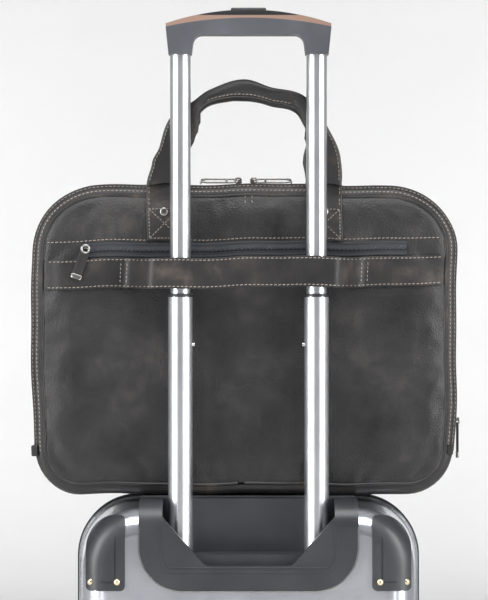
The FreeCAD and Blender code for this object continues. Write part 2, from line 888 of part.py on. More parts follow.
def trolley_tubes():
    collars = []
    rivets = []
    locks = []
    for name, sign in (("left", -1), ("right", 1)):
        x = f"({sign} * {TUBE_X})"
        lower = tube(x, "lower_diameter", "lower_bottom", "lower_top")
        wall = f"({TUBE_X} - lower_diameter / 2)"
        shank = f"{wall} + rivet_bite"
        length = "rivet_proud + rivet_bite"
        start = f"{shank} - ({length})" if sign > 0 else f"-({shank})"
        lower = cut(lower, rod("rivet_diameter", length, start, "tube_y", "rivet_z", "x"))
        rivets.append(rod("rivet_diameter", length, start, "tube_y", "rivet_z", "x"))
        finished(lower, f"lower_tube_{name}")
        bore = "upper_diameter + 2 * seat_gap"
        ring = rod("lower_diameter", "collar_tall", x, "tube_y", "lower_top")
        collars.append(cut(ring, rod(bore, "collar_tall", x, "tube_y", "lower_top")))
        finished(tube(x, "upper_diameter", "upper_bottom", TUBE_END), f"upper_tube_{name}")
        plug = "lower_diameter - 2 * (tube_wall + groove_depth)"
        low = "upper_bottom - lock_tall"
        locks.append(rod(plug, "lock_tall", x, "tube_y", low))
    finished(group(*collars), "lower_tube_collars")
    finished(group(*rivets), "guide_rivets")
    finished(group(*locks), "lock_blocks")


def arched(top, arc):
    """A solid under an arch of a radius whose ends are at a height, with leaning ends."""
    body = new_body("arch")
    outline = [
        ("-grip_half + grip_lean", "grip_bottom"),
        ("-grip_half", top, arc),
        ("grip_half", top),
        ("grip_half - grip_lean", "grip_bottom"),
    ]
    rear = "tube_y - grip_deep / 2"
    pad(body, "XZ", sketch_on(body, "XZ", rear, outline), "grip_deep")
    return body


def button_room(more, low, high):
    return block(
        f"-button_half - {more}", f"button_half + {more}",
        f"tube_y - button_deep / 2 - {more}", f"tube_y + button_deep / 2 + {more}",
        low, high,
    )


def grip():
    """Grip body, trim band and top cover, stacked under one arch, with a button in the middle."""
    body = arched("grip_shoulder", GRIP_ARC)
    hand = [
        ("-grip_half + grip_leg - grip_lean", "grip_bottom - 1"),
        ("-grip_half + grip_leg", "grip_under"),
        ("grip_half - grip_leg", "grip_under"),
        ("grip_half - grip_leg + grip_lean", "grip_bottom - 1"),
    ]
    pocket(body, "XZ", sketch_on(body, "XZ", "tube_y - grip_deep / 2", hand), "grip_deep")
    inner = [(f"{s}(grip_half - grip_leg)", "grip_under") for s in ("-", "")]
    smooth(body, "grip_leg / 3", along("Y", *inner))
    for sign in ("-", ""):
        x = f"{sign}{TUBE_X}"
        socket = circle_on(body, "XY", "grip_bottom", x, "tube_y", "upper_diameter")
        pocket(body, "XY", socket, f"{TUBE_END} - grip_bottom")
        shaft = circle_on(body, "XY", TUBE_END, x, "tube_y", "rod_diameter + 2 * rod_gap")
        pocket(body, "XY", shaft, f"{YOKE_BOTTOM} - {TUBE_END}")
    lowered = f"{YOKE_BOTTOM} - button_travel - pass_gap"
    room = block(
        f"-{TUBE_X} - rod_diameter", f"{TUBE_X} + rod_diameter",
        "tube_y - yoke_deep / 2 - pass_gap", "tube_y + yoke_deep / 2 + pass_gap",
        lowered, f"{YOKE_BOTTOM} + yoke_thick + pass_gap",
    )
    opening = button_room(
        "pass_gap", f"{YOKE_BOTTOM} + yoke_thick - button_travel - pass_gap", f"{GRIP_TOP} + tool_over"
    )
    finished(cut(cut(body, room), opening), "grip_body")

    above = block(
        "-cover_half", "cover_half", "tube_y - grip_deep / 2", "tube_y + grip_deep / 2",
        "grip_shoulder + cover_level", f"{GRIP_TOP} + 1",
    )
    crown = arched("grip_shoulder + trim_thick", CROWN_ARC)
    band = cut(cut(crown, above), arched("grip_shoulder", GRIP_ARC))
    finished(cut(band, opening), "grip_trim")

    def upper_rim(edge):
        box = edge.BoundBox
        return box.YLength < SAME_PLACE and abs(box.ZMax - value(GRIP_TOP)) < SAME_PLACE

    cover = common(arched("grip_shoulder + trim_thick", CROWN_ARC), above)
    finished(cut(rounded(cover, "cover_round", upper_rim), opening), "grip_cover")

    high = f"{GRIP_TOP} + button_proud"
    button = button_room(0, f"{YOKE_BOTTOM} + yoke_thick", high)
    finished(rounded(button, "button_round", at_level("Z", high)), "release_button")
    rods = [
        block(
            f"-{TUBE_X} - rod_diameter / 2", f"{TUBE_X} + rod_diameter / 2",
            "tube_y - yoke_deep / 2", "tube_y + yoke_deep / 2",
            YOKE_BOTTOM, f"{YOKE_BOTTOM} + yoke_thick",
        )
    ]
    low = "upper_bottom + button_travel + rod_stop"
    for sign in ("-", ""):
        rods.append(rod("rod_diameter", f"{YOKE_BOTTOM} - ({low})", f"{sign}{TUBE_X}", "tube_y", low))
    finished(fuse(*rods), "release_rods")


# Laptop bag


def bag_outline(inset):
    half = f"(bag_width / 2 - {inset})"
    return rectangle(
        f"bag_x - {half}", f"bag_x + {half}", f"bag_bottom + {inset}", f"{BAG_TOP} - {inset}"
    )


def bag_corners(body, inset, y):
    """Rounds the four corners of the newest outline: large ones at the top, smaller below."""
    half = f"(bag_width / 2 - {inset})"
    level = value(y)

    def at_corner(z):
        spots = [(value(f"bag_x {sign} {half}"), value(z)) for sign in "-+"]

        def pick(edge):
            a = edge.Vertexes[0].Point
            box = edge.BoundBox
            if max(box.XLength, box.ZLength, abs(box.YMin - level)) > SAME_PLACE:
                return False
            return any(max(abs(a.x - x), abs(a.z - zz)) < SAME_PLACE for x, zz in spots)

        return pick

    smooth(body, f"bag_top_corner - {inset}", at_corner(f"{BAG_TOP} - {inset}"))
    smooth(body, f"bag_bottom_corner - {inset}", at_corner(f"bag_bottom + {inset}"))


def bag_slab(rear, thick, inset):
    """A flat piece with the bag's outline."""
    body = new_body("slab")
    pad(body, "XZ", sketch_on(body, "XZ", rear, bag_outline(inset)), thick)
    bag_corners(body, inset, rear)
    return body


def bag_ring(rear, wide, inset, thick):
    """A strip that runs all round the bag's outline."""
    return cut(bag_slab(rear, wide, inset), bag_slab(rear, wide, f"({inset} + {thick})"))


def gusset(rear, wide, rear_lip, front_lip):
    """A leather strip round the bag whose free edges curl in to meet the panels."""
    body = bag_slab(rear, wide, 0)
    levels = []
    if rear_lip:
        levels.append(rear)
    if front_lip:
        levels.append(f"{rear} + {wide}")
    if levels:
        smooth(body, "bag_edge", at_level("Y", *levels))
    inside = f"{rear} + {'leather' if rear_lip else 0}"
    depth = f"{wide} - {'leather' if rear_lip else 0} - {'leather' if front_lip else 0}"
    shape = cut(body, bag_slab(inside, depth, "leather"))
    mouth = "(panel_inset - piping)"
    if rear_lip:
        shape = cut(shape, bag_slab(rear, "leather", mouth))
    if front_lip:
        shape = cut(shape, bag_slab(f"{rear} + {wide} - leather", "leather", mouth))
    return shape


def bag_part(above):
    """The space above the base seam, or below it, over the whole bag."""
    seam = "bag_bottom + base_tall"
    low, high = (seam, f"{BAG_TOP} + 1") if above else ("bag_bottom - 1", seam)
    edge = "bag_width / 2 + 1"
    return block(
        f"bag_x - ({edge})", f"bag_x + {edge}", "bag_back - 1", f"{BAG_FRONT} + 1", low, high
    )


def bag_shell():
    upper = bag_part(True)
    inside = "(bag_back + sleeve_room)"
    outside = f"({BAG_FRONT} - sleeve_room)"
    main_back = "(bag_back + main_zip_back)"
    main_front = f"({main_back} + main_zip_wide)"
    growth_back = f"({main_front} + middle_wide)"
    growth_front = f"({growth_back} + growth_zip_wide)"
    rear = gusset(inside, f"{main_back} - {inside}", True, False)
    finished(common(rear, upper), "rear_gusset")
    middle = gusset(main_front, "middle_wide", False, False)
    finished(common(middle, upper), "middle_gusset")
    front = gusset(growth_front, f"{outside} - {growth_front}", False, True)
    finished(common(front, upper), "front_gusset")
    whole = gusset(inside, f"{outside} - {inside}", True, True)
    finished(common(whole, bag_part(False)), "base_panel")
    main = bag_ring(main_back, "main_zip_wide", "zip_sunk", "zip_thick")
    finished(common(main, upper), "main_zip")
    growth = bag_ring(growth_back, "growth_zip_wide", "zip_sunk", "zip_thick")
    finished(common(growth, upper), "expansion_zip")
    edge = "(panel_inset - piping)"
    finished(bag_slab("bag_back", "leather", "panel_inset"), "back_panel")
    finished(bag_ring("bag_back", "leather", edge, "piping"), "rear_piping")
    face = f"{BAG_FRONT} - leather"
    finished(bag_slab(face, "leather", "panel_inset"), "front_panel")
    finished(bag_ring(face, "leather", edge, "piping"), "front_piping")


def bag_extras():
    pocket_body = new_body("pocket")
    low = "bag_bottom + pocket_low"
    outline = rectangle(
        "bag_x - pocket_half", "bag_x + pocket_half", low, f"{low} + pocket_tall"
    )
    pad(pocket_body, "XZ", sketch_on(pocket_body, "XZ", BAG_FRONT, outline), "pocket_thick")
    smooth(pocket_body, "pocket_thick", along("Y"))
    smooth(pocket_body, "pocket_thick / 2", at_level("Y", f"{BAG_FRONT} + pocket_thick"))
    finished(pocket_body, "front_pocket")

    half = "(bag_width / 2 - bag_bottom_corner)"
    inner = block(
        f"bag_x - {half}", f"bag_x + {half}",
        "bag_back + main_zip_back", "bag_back + main_zip_back + sleeve_thick",
        "bag_bottom + leather + 1", f"{BAG_TOP} - bag_top_corner",
    )
    finished(rounded(inner, "sleeve_thick / 3", along("X")), "laptop_sleeve")

    zip_block = block(
        "bag_x - back_zip_half", "bag_x + back_zip_half",
        "bag_back - back_zip_thick", "bag_back",
        "back_zip_z - back_zip_tall / 2", "back_zip_z + back_zip_tall / 2",
    )
    finished(rounded(zip_block, 1, at_level("Y", "bag_back - back_zip_thick")), "pocket_zip")


def strap():
    """A band sewn flat to the back panel at both ends, standing off it between them."""
    face = "(bag_back - strap_thick)"
    top = f"({face} - strap_reach + strap_thick)"
    half_path = [
        ("strap_end", "bag_back"),
        ("strap_sewn", "bag_back"),
        ("strap_bridge", top),
    ]
    out_path = [
        ("strap_bridge + strap_lap", f"{top} - strap_thick"),
        ("strap_sewn + strap_lap", face),
        ("strap_end", face),
    ]
    right = [(f"bag_x + {x}", y) for x, y in half_path]
    left = [(f"bag_x - ({x})", y) for x, y in reversed(half_path)]
    left_out = [(f"bag_x - ({x})", y) for x, y in reversed(out_path)]
    right_out = [(f"bag_x + {x}", y) for x, y in out_path]
    body = new_body("strap")
    outline = right + left + left_out + right_out
    low = "strap_z - strap_width / 2"
    pad(body, "XY", sketch_on(body, "XY", low, outline), "strap_width")
    finished(body, "trolley_strap")


def tabs_and_handles():
    tabs = []
    studs = []
    top = "handle_bottom - tab_drop"
    for face, start, stud in (
        ("rear", "bag_back - tab_thick", "bag_back - tab_thick - tab_rivet_proud"),
        ("front", BAG_FRONT, f"{BAG_FRONT} + tab_thick"),
    ):
        for sign in (-1, 1):
            x = f"(bag_x + {sign} * tab_offset)"
            tab = block(
                f"{x} - tab_width / 2", f"{x} + tab_width / 2", start, f"{start} + tab_thick",
                "tab_bottom", top,
            )
            tabs.append(rounded(tab, "tab_thick", along("Y")))
            stud_z = "handle_bottom - tab_rivet_drop"
            studs.append(rod("tab_rivet", "tab_rivet_proud", x, stud, stud_z, "y"))
    finished(group(*tabs), "handle_tabs")
    finished(group(*studs), "tab_rivets")
    rear = "bag_back - handle_off - handle_thick / 2"
    front = f"{BAG_FRONT} + handle_off - handle_thick / 2"
    for name, start in (("rear", rear), ("front", front)):
        finished(loop(start), f"{name}_handle")


def loop(start):
    """A handle: wide flat legs that lean inward and fold up into a narrower arched top."""
    slope = "sqrt(handle_spread^2 + handle_centre^2)"
    turn = f"(acos(handle_radius / {slope}) - atan(handle_centre / handle_spread))"
    hip_x = f"handle_radius * cos({turn})"
    hip_z = f"handle_bottom + handle_centre + handle_radius * sin({turn})"
    outside = [
        ("bag_x - handle_spread", "handle_bottom"),
        (f"bag_x - {hip_x}", hip_z, "handle_radius"),
        (f"bag_x + {hip_x}", hip_z),
        ("bag_x + handle_spread", "handle_bottom"),
    ]
    foot = "(handle_spread - handle_leg)"
    shoulder = "handle_bottom + handle_hip_rise"
    inside = [
        (f"bag_x - {foot}", "handle_bottom"),
        ("bag_x - handle_hip", shoulder, "(handle_hip^2 + handle_bow^2) / (2 * handle_bow)"),
        ("bag_x + handle_hip", shoulder),
        (f"bag_x + {foot}", "handle_bottom"),
    ]
    body = new_body("loop")
    pad(body, "XZ", sketch_on(body, "XZ", start, outside), "handle_thick")
    pocket(body, "XZ", sketch_on(body, "XZ", start, inside), "handle_thick")
    hips = [(f"bag_x {sign} handle_hip", shoulder) for sign in "-+"]
    smooth(body, "handle_bow", along("Y", *hips))

    def rim(edge):
        box = edge.BoundBox
        return box.YLength < SAME_PLACE and box.ZMax > value("handle_bottom") + 1

    smooth(body, "handle_thick / 4", rim)
    return body


# Zip pulls, each built about its hinge pin: the zip lies below in -Z and the puller points to +X


def slider(base_turn=0):
    """A slider whose base is turned about the zip's normal by an angle."""
    top = "(slider_base - pin_rise + pass_gap)"
    base = block(
        "-slider_long / 2", "slider_long / 2", "-slider_wide / 2", "slider_wide / 2",
        "pass_gap - pin_rise", top,
    )
    soft = group(rounded(base, "slider_base / 2.5", along("Z")))
    parts = [place(soft, 0, 0, 0, Rotation(Vector(0, 0, 1), base_turn))]
    for sign in (-1, 1):
        y = f"{sign} * (eye_thick / 2 + pass_gap + cheek_wall / 2)"
        parts.append(
            block(
                "-pin_diameter", "pin_diameter", f"{y} - cheek_wall / 2", f"{y} + cheek_wall / 2",
                f"{top} - pin_sunk", "pin_diameter",
            )
        )
    reach = "(eye_thick / 2 + pass_gap + cheek_wall)"
    parts.append(rod("pin_diameter", f"2 * {reach}", 0, f"-{reach}", 0, "y"))
    return fuse(*parts)


def puller(long, wide):
    """An eye for the pin, a neck, and an open frame."""
    eye = rod("eye_diameter", "eye_thick", 0, "-eye_thick / 2", 0, "y")
    neck = block(
        "eye_hole / 2 + 0.2", "eye_diameter + 4", "-eye_thick / 2", "eye_thick / 2",
        "-puller_thick / 2", "puller_thick / 2",
    )
    tag = block(
        "eye_diameter + 2", long, f"-{wide} / 2", f"{wide} / 2",
        "-puller_thick / 2", "puller_thick / 2",
    )
    tag = rounded(tag, f"{wide} / 3", along("Z"))
    return cut(fuse(eye, neck, tag), rod("eye_hole", "eye_thick", 0, "-eye_thick / 2", 0, "y"))


def zip_pulls():
    face_up = {
        "left": Rotation(Vector(0, 0, 1), 180),
        "right": Rotation(),
    }
    top = f"{BAG_TOP} - zip_sunk + pin_rise"
    y = "bag_back + main_zip_back + main_zip_wide / 2"
    for name, sign in (("left", -1), ("right", 1)):
        x = f"bag_x + main_slider_shift + {sign} * main_slider_gap"
        finished(place(slider(), x, y, top, face_up[name]), f"main_slider_{name}")
        pull = puller("main_puller_long", "main_puller_wide")
        finished(place(pull, x, y, top, face_up[name]), f"main_puller_{name}")

    x = "bag_x + pocket_slider_x"
    y = "bag_back - back_zip_thick - pin_rise"
    hang = Rotation(Vector(0, 0, -1), Vector(1, 0, 0), Vector(0, -1, 0), "ZXY")
    lean = value("pocket_puller_swing")
    swing = Rotation(Vector(0, 1, 0), lean) * hang
    finished(place(slider(90 + lean), x, y, "back_zip_z", swing), "pocket_slider")
    pull = puller("pocket_puller_long", "pocket_puller_wide")
    finished(place(pull, x, y, "back_zip_z", swing), "pocket_puller")

    growth = "bag_back + main_zip_back + main_zip_wide + middle_wide + growth_zip_wide / 2"
    x = "bag_x + bag_width / 2 - zip_sunk + pin_rise"
    side = Rotation(Vector(0, 0, -1), Vector(0, 1, 0), Vector(1, 0, 0), "ZXY")
    finished(place(slider(), x, growth, "side_slider_z", side), "side_slider")
    pull = puller("side_puller_long", "side_puller_wide")
    finished(place(pull, x, growth, "side_slider_z", side), "side_puller")


def write_out():
    doc.recompute()
    for thing in doc.Objects:
        if "Invalid" in thing.State or "Error" in thing.State:
            raise RuntimeError(f"{thing.Name} {thing.Label} failed: {thing.State}")
    os.makedirs("parts", exist_ok=True)
    for piece in pieces:
        if piece.Shape.isNull() or not piece.Shape.isValid() or not piece.Shape.Solids:
            raise RuntimeError(f"{piece.Label} has no sound shape")
        piece.Shape.exportStep(f"parts/{piece.Label}.step")


outer_rear, rear_shell = shell(-1, "rear_shell")
outer_front, front_shell = shell(1, "front_shell")
finished(case_ring("-case_tape / 2", "case_tape", 1, 3.5), "case_zip")
bindings = [
    case_ring("case_tape / 2", "binding_width", "binding_proud", "binding_proud"),
    case_ring("-case_tape / 2 - binding_width", "binding_width", "binding_proud", "binding_proud"),
]
finished(group(*bindings), "rim_bindings")
corner_skins(outer_rear, outer_front)
bezel()
carry_handle()
case_inside(sleeves(), rear_shell)
caster_housings(outer_rear, outer_front)
for side_name, side in (("rear", -1), ("front", 1)):
    for hand_name, sign in (("left", -1), ("right", 1)):
        caster(f"{side_name}_{hand_name}", sign, side)
trolley_tubes()
grip()
bag_shell()
bag_extras()
strap()
tabs_and_handles()
zip_pulls()
write_out()
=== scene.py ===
import json
import math
import random

import bmesh
import bpy
from mathutils import Matrix, Vector
from mathutils.bvhtree import BVHTree


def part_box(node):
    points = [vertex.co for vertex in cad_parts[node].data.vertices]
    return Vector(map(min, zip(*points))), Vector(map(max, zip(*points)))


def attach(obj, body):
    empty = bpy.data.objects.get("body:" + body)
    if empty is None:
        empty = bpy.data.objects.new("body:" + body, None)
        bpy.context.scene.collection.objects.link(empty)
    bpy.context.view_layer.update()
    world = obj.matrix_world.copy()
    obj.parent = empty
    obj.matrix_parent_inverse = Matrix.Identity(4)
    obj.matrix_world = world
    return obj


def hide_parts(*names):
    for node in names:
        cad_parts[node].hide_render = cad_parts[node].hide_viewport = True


# A leather laptop briefcase on the telescoping handle of a hard-shell case with four casters.
# Metres, in the part's own frame: +X right, +Y away from the trolley handle, Z = 0 the floor.

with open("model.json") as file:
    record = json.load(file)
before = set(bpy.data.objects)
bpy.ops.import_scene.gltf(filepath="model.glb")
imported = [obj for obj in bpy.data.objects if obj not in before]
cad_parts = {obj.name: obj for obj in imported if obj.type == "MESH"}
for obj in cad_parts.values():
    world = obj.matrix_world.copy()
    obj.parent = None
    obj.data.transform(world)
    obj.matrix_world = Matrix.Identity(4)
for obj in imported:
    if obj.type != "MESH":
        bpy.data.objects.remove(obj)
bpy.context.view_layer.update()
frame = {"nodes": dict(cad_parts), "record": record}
scene = bpy.context.scene
chance = random.Random(7)
MM = 0.001


# ---------------------------------------------------------------- handling of objects


def deselect():
    if bpy.context.mode != "OBJECT":
        bpy.ops.object.mode_set(mode="OBJECT")
    bpy.ops.object.select_all(action="DESELECT")


def take(piece):
    deselect()
    piece.select_set(True)
    bpy.context.view_layer.objects.active = piece
    return piece


def settle(piece):
    """Moves a piece's place, turn and scale into its mesh."""
    take(piece)
    bpy.ops.object.transform_apply(location=True, rotation=True, scale=True)
    return piece


def apply_modifier(piece, kind, **settings):
    take(piece)
    modifier = piece.modifiers.new(kind.title(), kind)
    for key, setting in settings.items():
        setattr(modifier, key, setting)
    bpy.ops.object.modifier_apply(modifier=modifier.name)
    return piece


def smooth(piece, degrees=35):
    take(piece)
    bpy.ops.object.shade_smooth_by_angle(angle=math.radians(degrees))
    return piece


def outward(piece):
    """Merges doubles and turns every face outwards."""
    take(piece)
    bpy.ops.object.mode_set(mode="EDIT")
    bpy.ops.mesh.select_all(action="SELECT")
    bpy.ops.mesh.remove_doubles(threshold=1e-6)
    bpy.ops.mesh.normals_make_consistent(inside=False)
    bpy.ops.object.mode_set(mode="OBJECT")
    return piece


def joined(name, parts):
    deselect()
    for part in parts:
        part.select_set(True)
    bpy.context.view_layer.objects.active = parts[0]
    if len(parts) > 1:
        bpy.ops.object.join()
    parts[0].name = name
    parts[0].data.name = name
    return parts[0]


def done(piece, body, finish, slot, *nodes):
    """Gives a piece its material and its body, and hides the nodes that it stands for; slot is not
    used.
    """
    piece.data.materials.clear()
    piece.data.materials.append(finish)
    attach(piece, body)
    if nodes:
        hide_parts(*nodes)
    return piece


def block(name, low, high, bevel=0.0, steps=3):
    """A box between two corners with its edges rounded."""
    deselect()
    low = Vector(low)
    high = Vector(high)
    bpy.ops.mesh.primitive_cube_add(size=1, location=(low + high) / 2, scale=high - low)
    piece = settle(bpy.context.active_object)
    piece.name = name
    if bevel:
        bpy.ops.object.mode_set(mode="EDIT")
        bpy.ops.mesh.select_all(action="SELECT")
        bpy.ops.mesh.bevel(offset=bevel, segments=steps, profile=0.5, affect="EDGES")
        bpy.ops.object.mode_set(mode="OBJECT")
    return piece


def rod(name, radius, start, end, sides=24, bevel=0.0):
    """A round bar from one point to another, with its rims rounded."""
    deselect()
    start = Vector(start)
    end = Vector(end)
    run = end - start
    turn = run.to_track_quat("Z", "Y").to_euler()
    bpy.ops.mesh.primitive_cylinder_add(
        vertices=sides, radius=radius, depth=run.length, location=(start + end) / 2, rotation=turn
    )
    piece = settle(bpy.context.active_object)
    piece.name = name
    if bevel:
        bpy.ops.object.mode_set(mode="EDIT")
        mesh = bmesh.from_edit_mesh(piece.data)
        axis = run.normalized()
        for edge in mesh.edges:
            side = (edge.verts[1].co - edge.verts[0].co).normalized()
            edge.select = abs(side.dot(axis)) < 0.5
        bmesh.update_edit_mesh(piece.data)
        bpy.ops.mesh.bevel(offset=bevel, segments=3, profile=0.5, affect="EDGES")
        bpy.ops.object.mode_set(mode="OBJECT")
    return piece


def sweep(name, section, stations, closed=False):
    """Extrudes a section through stations. The section is (u, v) points, a station turns one of
    them into a place, and a closed sweep joins its last station to its first."""
    deselect()
    fill = "NOTHING" if closed else "NGON"
    bpy.ops.mesh.primitive_circle_add(vertices=len(section), radius=MM, fill_type=fill)
    piece = bpy.context.active_object
    piece.name = name
    bpy.ops.object.mode_set(mode="EDIT")
    bpy.ops.mesh.select_all(action="SELECT")
    mesh = bmesh.from_edit_mesh(piece.data)
    corner = mesh.verts.layers.int.new("corner")
    mesh.verts.ensure_lookup_table()
    for index, vert in enumerate(mesh.verts):
        vert[corner] = index
    for count, station in enumerate(stations):
        if count:
            bpy.ops.mesh.extrude_region_move()
            mesh = bmesh.from_edit_mesh(piece.data)
            corner = mesh.verts.layers.int["corner"]
        for vert in mesh.verts:
            if vert.select:
                vert.co = station(*section[vert[corner]])
        bmesh.update_edit_mesh(piece.data)
    if closed:
        size = len(section)
        mesh.verts.ensure_lookup_table()
        mesh.verts.index_update()
        last = len(mesh.verts) - size
        for vert in mesh.verts:
            vert.select = vert.index < size or vert.index >= last
        mesh.select_flush(True)
        for edge in mesh.edges:
            a, b = (v.index for v in edge.verts)
            edge.select = (a < size and b < size) or (a >= last and b >= last)
        bmesh.update_edit_mesh(piece.data)
        bpy.ops.mesh.bridge_edge_loops()
    bpy.ops.object.mode_set(mode="OBJECT")
    settle(piece)
    return outward(piece)


def oval(width, thick, power=2.0, sides=16):
    """A section between an ellipse, at power 2, and a rounded oblong, above it."""
    points = []
    for step in range(sides):
        turn = 2 * math.pi * (step + 0.5) / sides
        c = math.cos(turn)
        s = math.sin(turn)
        u = math.copysign(abs(c) ** (2 / power), c) * width / 2
        v = math.copysign(abs(s) ** (2 / power), s) * thick / 2
        points.append((u, v))
    return points


def copies(name, pattern, places):
    """Copies of a small pattern at each matrix, as one piece; the pattern itself goes."""
    made = []
    for matrix in places:
        mesh = pattern.data.copy()
        mesh.transform(matrix)
        one = bpy.data.objects.new(name, mesh)
        scene.collection.objects.link(one)
        made.append(one)
    bpy.data.objects.remove(pattern)
    return joined(name, made)


def facing(point, along, normal):
    """A matrix at a point with its X along a run and its Z along a normal."""
    x = along.normalized()
    z = (normal - x * normal.dot(x)).normalized()
    y = z.cross(x)
    turn = Matrix((x, y, z)).transposed().to_4x4()
    return Matrix.Translation(point) @ turn


def measured(points, pitch, closed=False):
    """Places a pitch apart along a line of points, each with its direction."""
    line = [Vector(p) for p in points]
    if closed:
        line.append(line[0])
    total = sum((b - a).length for a, b in zip(line, line[1:]))
    count = max(1, round(total / pitch))
    pitch = total / count
    spots = []
    gone = 0.0
    reach = pitch / 2
    for a, b in zip(line, line[1:]):
        length = (b - a).length
        while length > 0 and reach <= gone + length:
            spots.append((a.lerp(b, (reach - gone) / length), (b - a).normalized()))
            reach += pitch
        gone += length
    return spots

# ---------------------------------------------------------------- finishes


class Nodes:
    """A short way to add and link nodes in a tree."""

    def __init__(self, tree):
        self.tree = tree

    def add(self, kind, settings=None, **inputs):
        node = self.tree.nodes.new(kind)
        for key, setting in (settings or {}).items():
            setattr(node, key, setting)
        for key, entry in inputs.items():
            self.feed(node, key.replace("_", " "), entry)
        return node

    def feed(self, node, key, entry):
        socket = node.inputs[int(key)] if key.isdigit() else node.inputs[key]
        if isinstance(entry, bpy.types.NodeSocket):
            self.tree.links.new(entry, socket)
        else:
            socket.default_value = entry

    def math(self, operation, first, second=0.0, clamp=False):
        node = self.add("ShaderNodeMath", {"operation": operation, "use_clamp": clamp})
        self.feed(node, "0", first)
        self.feed(node, "1", second)
        return node.outputs[0]

    def span(self, entry, low, high, to_low=0.0, to_high=1.0):
        node = self.add("ShaderNodeMapRange", Value=entry)
        for key, number in zip(("1", "2", "3", "4"), (low, high, to_low, to_high)):
            self.feed(node, key, number)
        return node.outputs[0]

    def noise(self, place, scale, detail=3.0, rough=0.5, stretch=None):
        if stretch:
            turned = self.add("ShaderNodeMapping", Vector=place, Scale=stretch)
            place = turned.outputs[0]
        node = self.add(
            "ShaderNodeTexNoise", Vector=place, Scale=scale, Detail=detail, Roughness=rough
        )
        return node.outputs[0]

    def cells(self, place, scale, feature="F1"):
        node = self.add(
            "ShaderNodeTexVoronoi", {"feature": feature}, Vector=place, Scale=scale
        )
        return node.outputs["Distance"]

    def blend(self, factor, first, second):
        node = self.add("ShaderNodeMix", {"data_type": "RGBA"})
        self.feed(node, "0", factor)
        self.feed(node, "6", first)
        self.feed(node, "7", second)
        return node.outputs[2]


def effect(name, inputs, build):
    """A node group with a place, named numbers, and Tone, Wear and Height outputs."""
    tree = bpy.data.node_groups.new(name, "ShaderNodeTree")
    tree.interface.new_socket("Place", in_out="INPUT", socket_type="NodeSocketVector")
    for key, number in inputs.items():
        socket = tree.interface.new_socket(key, in_out="INPUT", socket_type="NodeSocketFloat")
        socket.default_value = number
    for key in ("Tone", "Wear", "Height"):
        tree.interface.new_socket(key, in_out="OUTPUT", socket_type="NodeSocketFloat")
    nodes = Nodes(tree)
    given = nodes.add("NodeGroupInput")
    out = nodes.add("NodeGroupOutput")
    for key, entry in zip(("Tone", "Wear", "Height"), build(nodes, given.outputs)):
        nodes.feed(out, key, entry)
    return tree


def hide_grain(n, given):
    """Fine pebbled grain over slow mottling, with soft creases and rubbed high spots."""
    place = given["Place"]
    pebble = n.cells(place, given["Pebbles"], "SMOOTH_F1")
    fine = n.noise(place, 900.0, 4.0, 0.6)
    slow = n.noise(place, 14.0, 3.0, 0.55)
    patch = n.noise(place, 38.0, 4.0, 0.6)
    crease = n.noise(place, 46.0, 2.0, 0.5, (1.0, 1.0, 0.35))
    line = n.span(n.math("ABSOLUTE", n.math("SUBTRACT", crease, 0.5)), 0.0, 0.02, 1.0, 0.0)
    line = n.math("MULTIPLY", line, n.span(slow, 0.52, 0.66))
    tone = n.math("ADD", n.math("MULTIPLY", slow, 0.7), n.math("MULTIPLY", patch, 0.3))
    rub = n.math("MULTIPLY", n.span(patch, 0.5, 0.75), n.span(slow, 0.45, 0.65))
    height = n.math("MULTIPLY", pebble, 0.55)
    height = n.math("ADD", height, n.math("MULTIPLY", fine, 0.25))
    height = n.math("SUBTRACT", height, n.math("MULTIPLY", line, given["Creases"]))
    return tone, rub, height


def woven(n, given):
    """Plain weave: two sets of threads that cross, with a slight slub."""
    place = given["Place"]
    parts = n.add("ShaderNodeSeparateXYZ", Vector=place)
    sideways = n.math("ADD", parts.outputs[0], parts.outputs[1])
    pitch = given["Threads"]
    across = n.math("SINE", n.math("MULTIPLY", sideways, pitch))
    up = n.math("SINE", n.math("MULTIPLY", parts.outputs[2], pitch))
    slub = n.noise(place, 160.0, 3.0)
    check = n.math("MULTIPLY", across, up)
    raised = n.span(check, -1.0, 1.0)
    tone = n.math("ADD", n.math("MULTIPLY", raised, 0.5), n.math("MULTIPLY", slub, 0.5))
    wear = n.span(n.noise(place, 30.0, 3.0), 0.55, 0.8)
    return tone, wear, raised


def moulded(n, given):
    """Spark-eroded moulding grain with faint scuffs."""
    place = given["Place"]
    grain = n.cells(place, given["Grain"])
    fine = n.noise(place, 1500.0, 3.0, 0.6)
    slow = n.noise(place, 18.0, 3.0)
    scuff = n.noise(place, 70.0, 5.0, 0.7, (1.0, 1.0, 0.2))
    wear = n.math("MULTIPLY", n.span(scuff, 0.58, 0.7), n.span(slow, 0.5, 0.7))
    height = n.math("ADD", n.math("MULTIPLY", grain, 0.6), n.math("MULTIPLY", fine, 0.4))
    return slow, wear, height


def drawn(n, given):
    """Fine lines along one direction, as drawing or brushing leaves in metal."""
    pitch = {axis: given[f"{axis} lines"] for axis in "XYZ"}
    mapped = n.add("ShaderNodeCombineXYZ", **pitch)
    product = n.add("ShaderNodeVectorMath", {"operation": "MULTIPLY"})
    n.feed(product, "0", given["Place"])
    n.feed(product, "1", mapped.outputs[0])
    lines = n.noise(product.outputs[0], 1.0, 4.0, 0.7)
    slow = n.noise(given["Place"], 25.0, 3.0)
    wear = n.span(n.noise(given["Place"], 90.0, 5.0, 0.7), 0.6, 0.72)
    tone = n.math("ADD", n.math("MULTIPLY", lines, 0.6), n.math("MULTIPLY", slow, 0.4))
    return tone, wear, lines


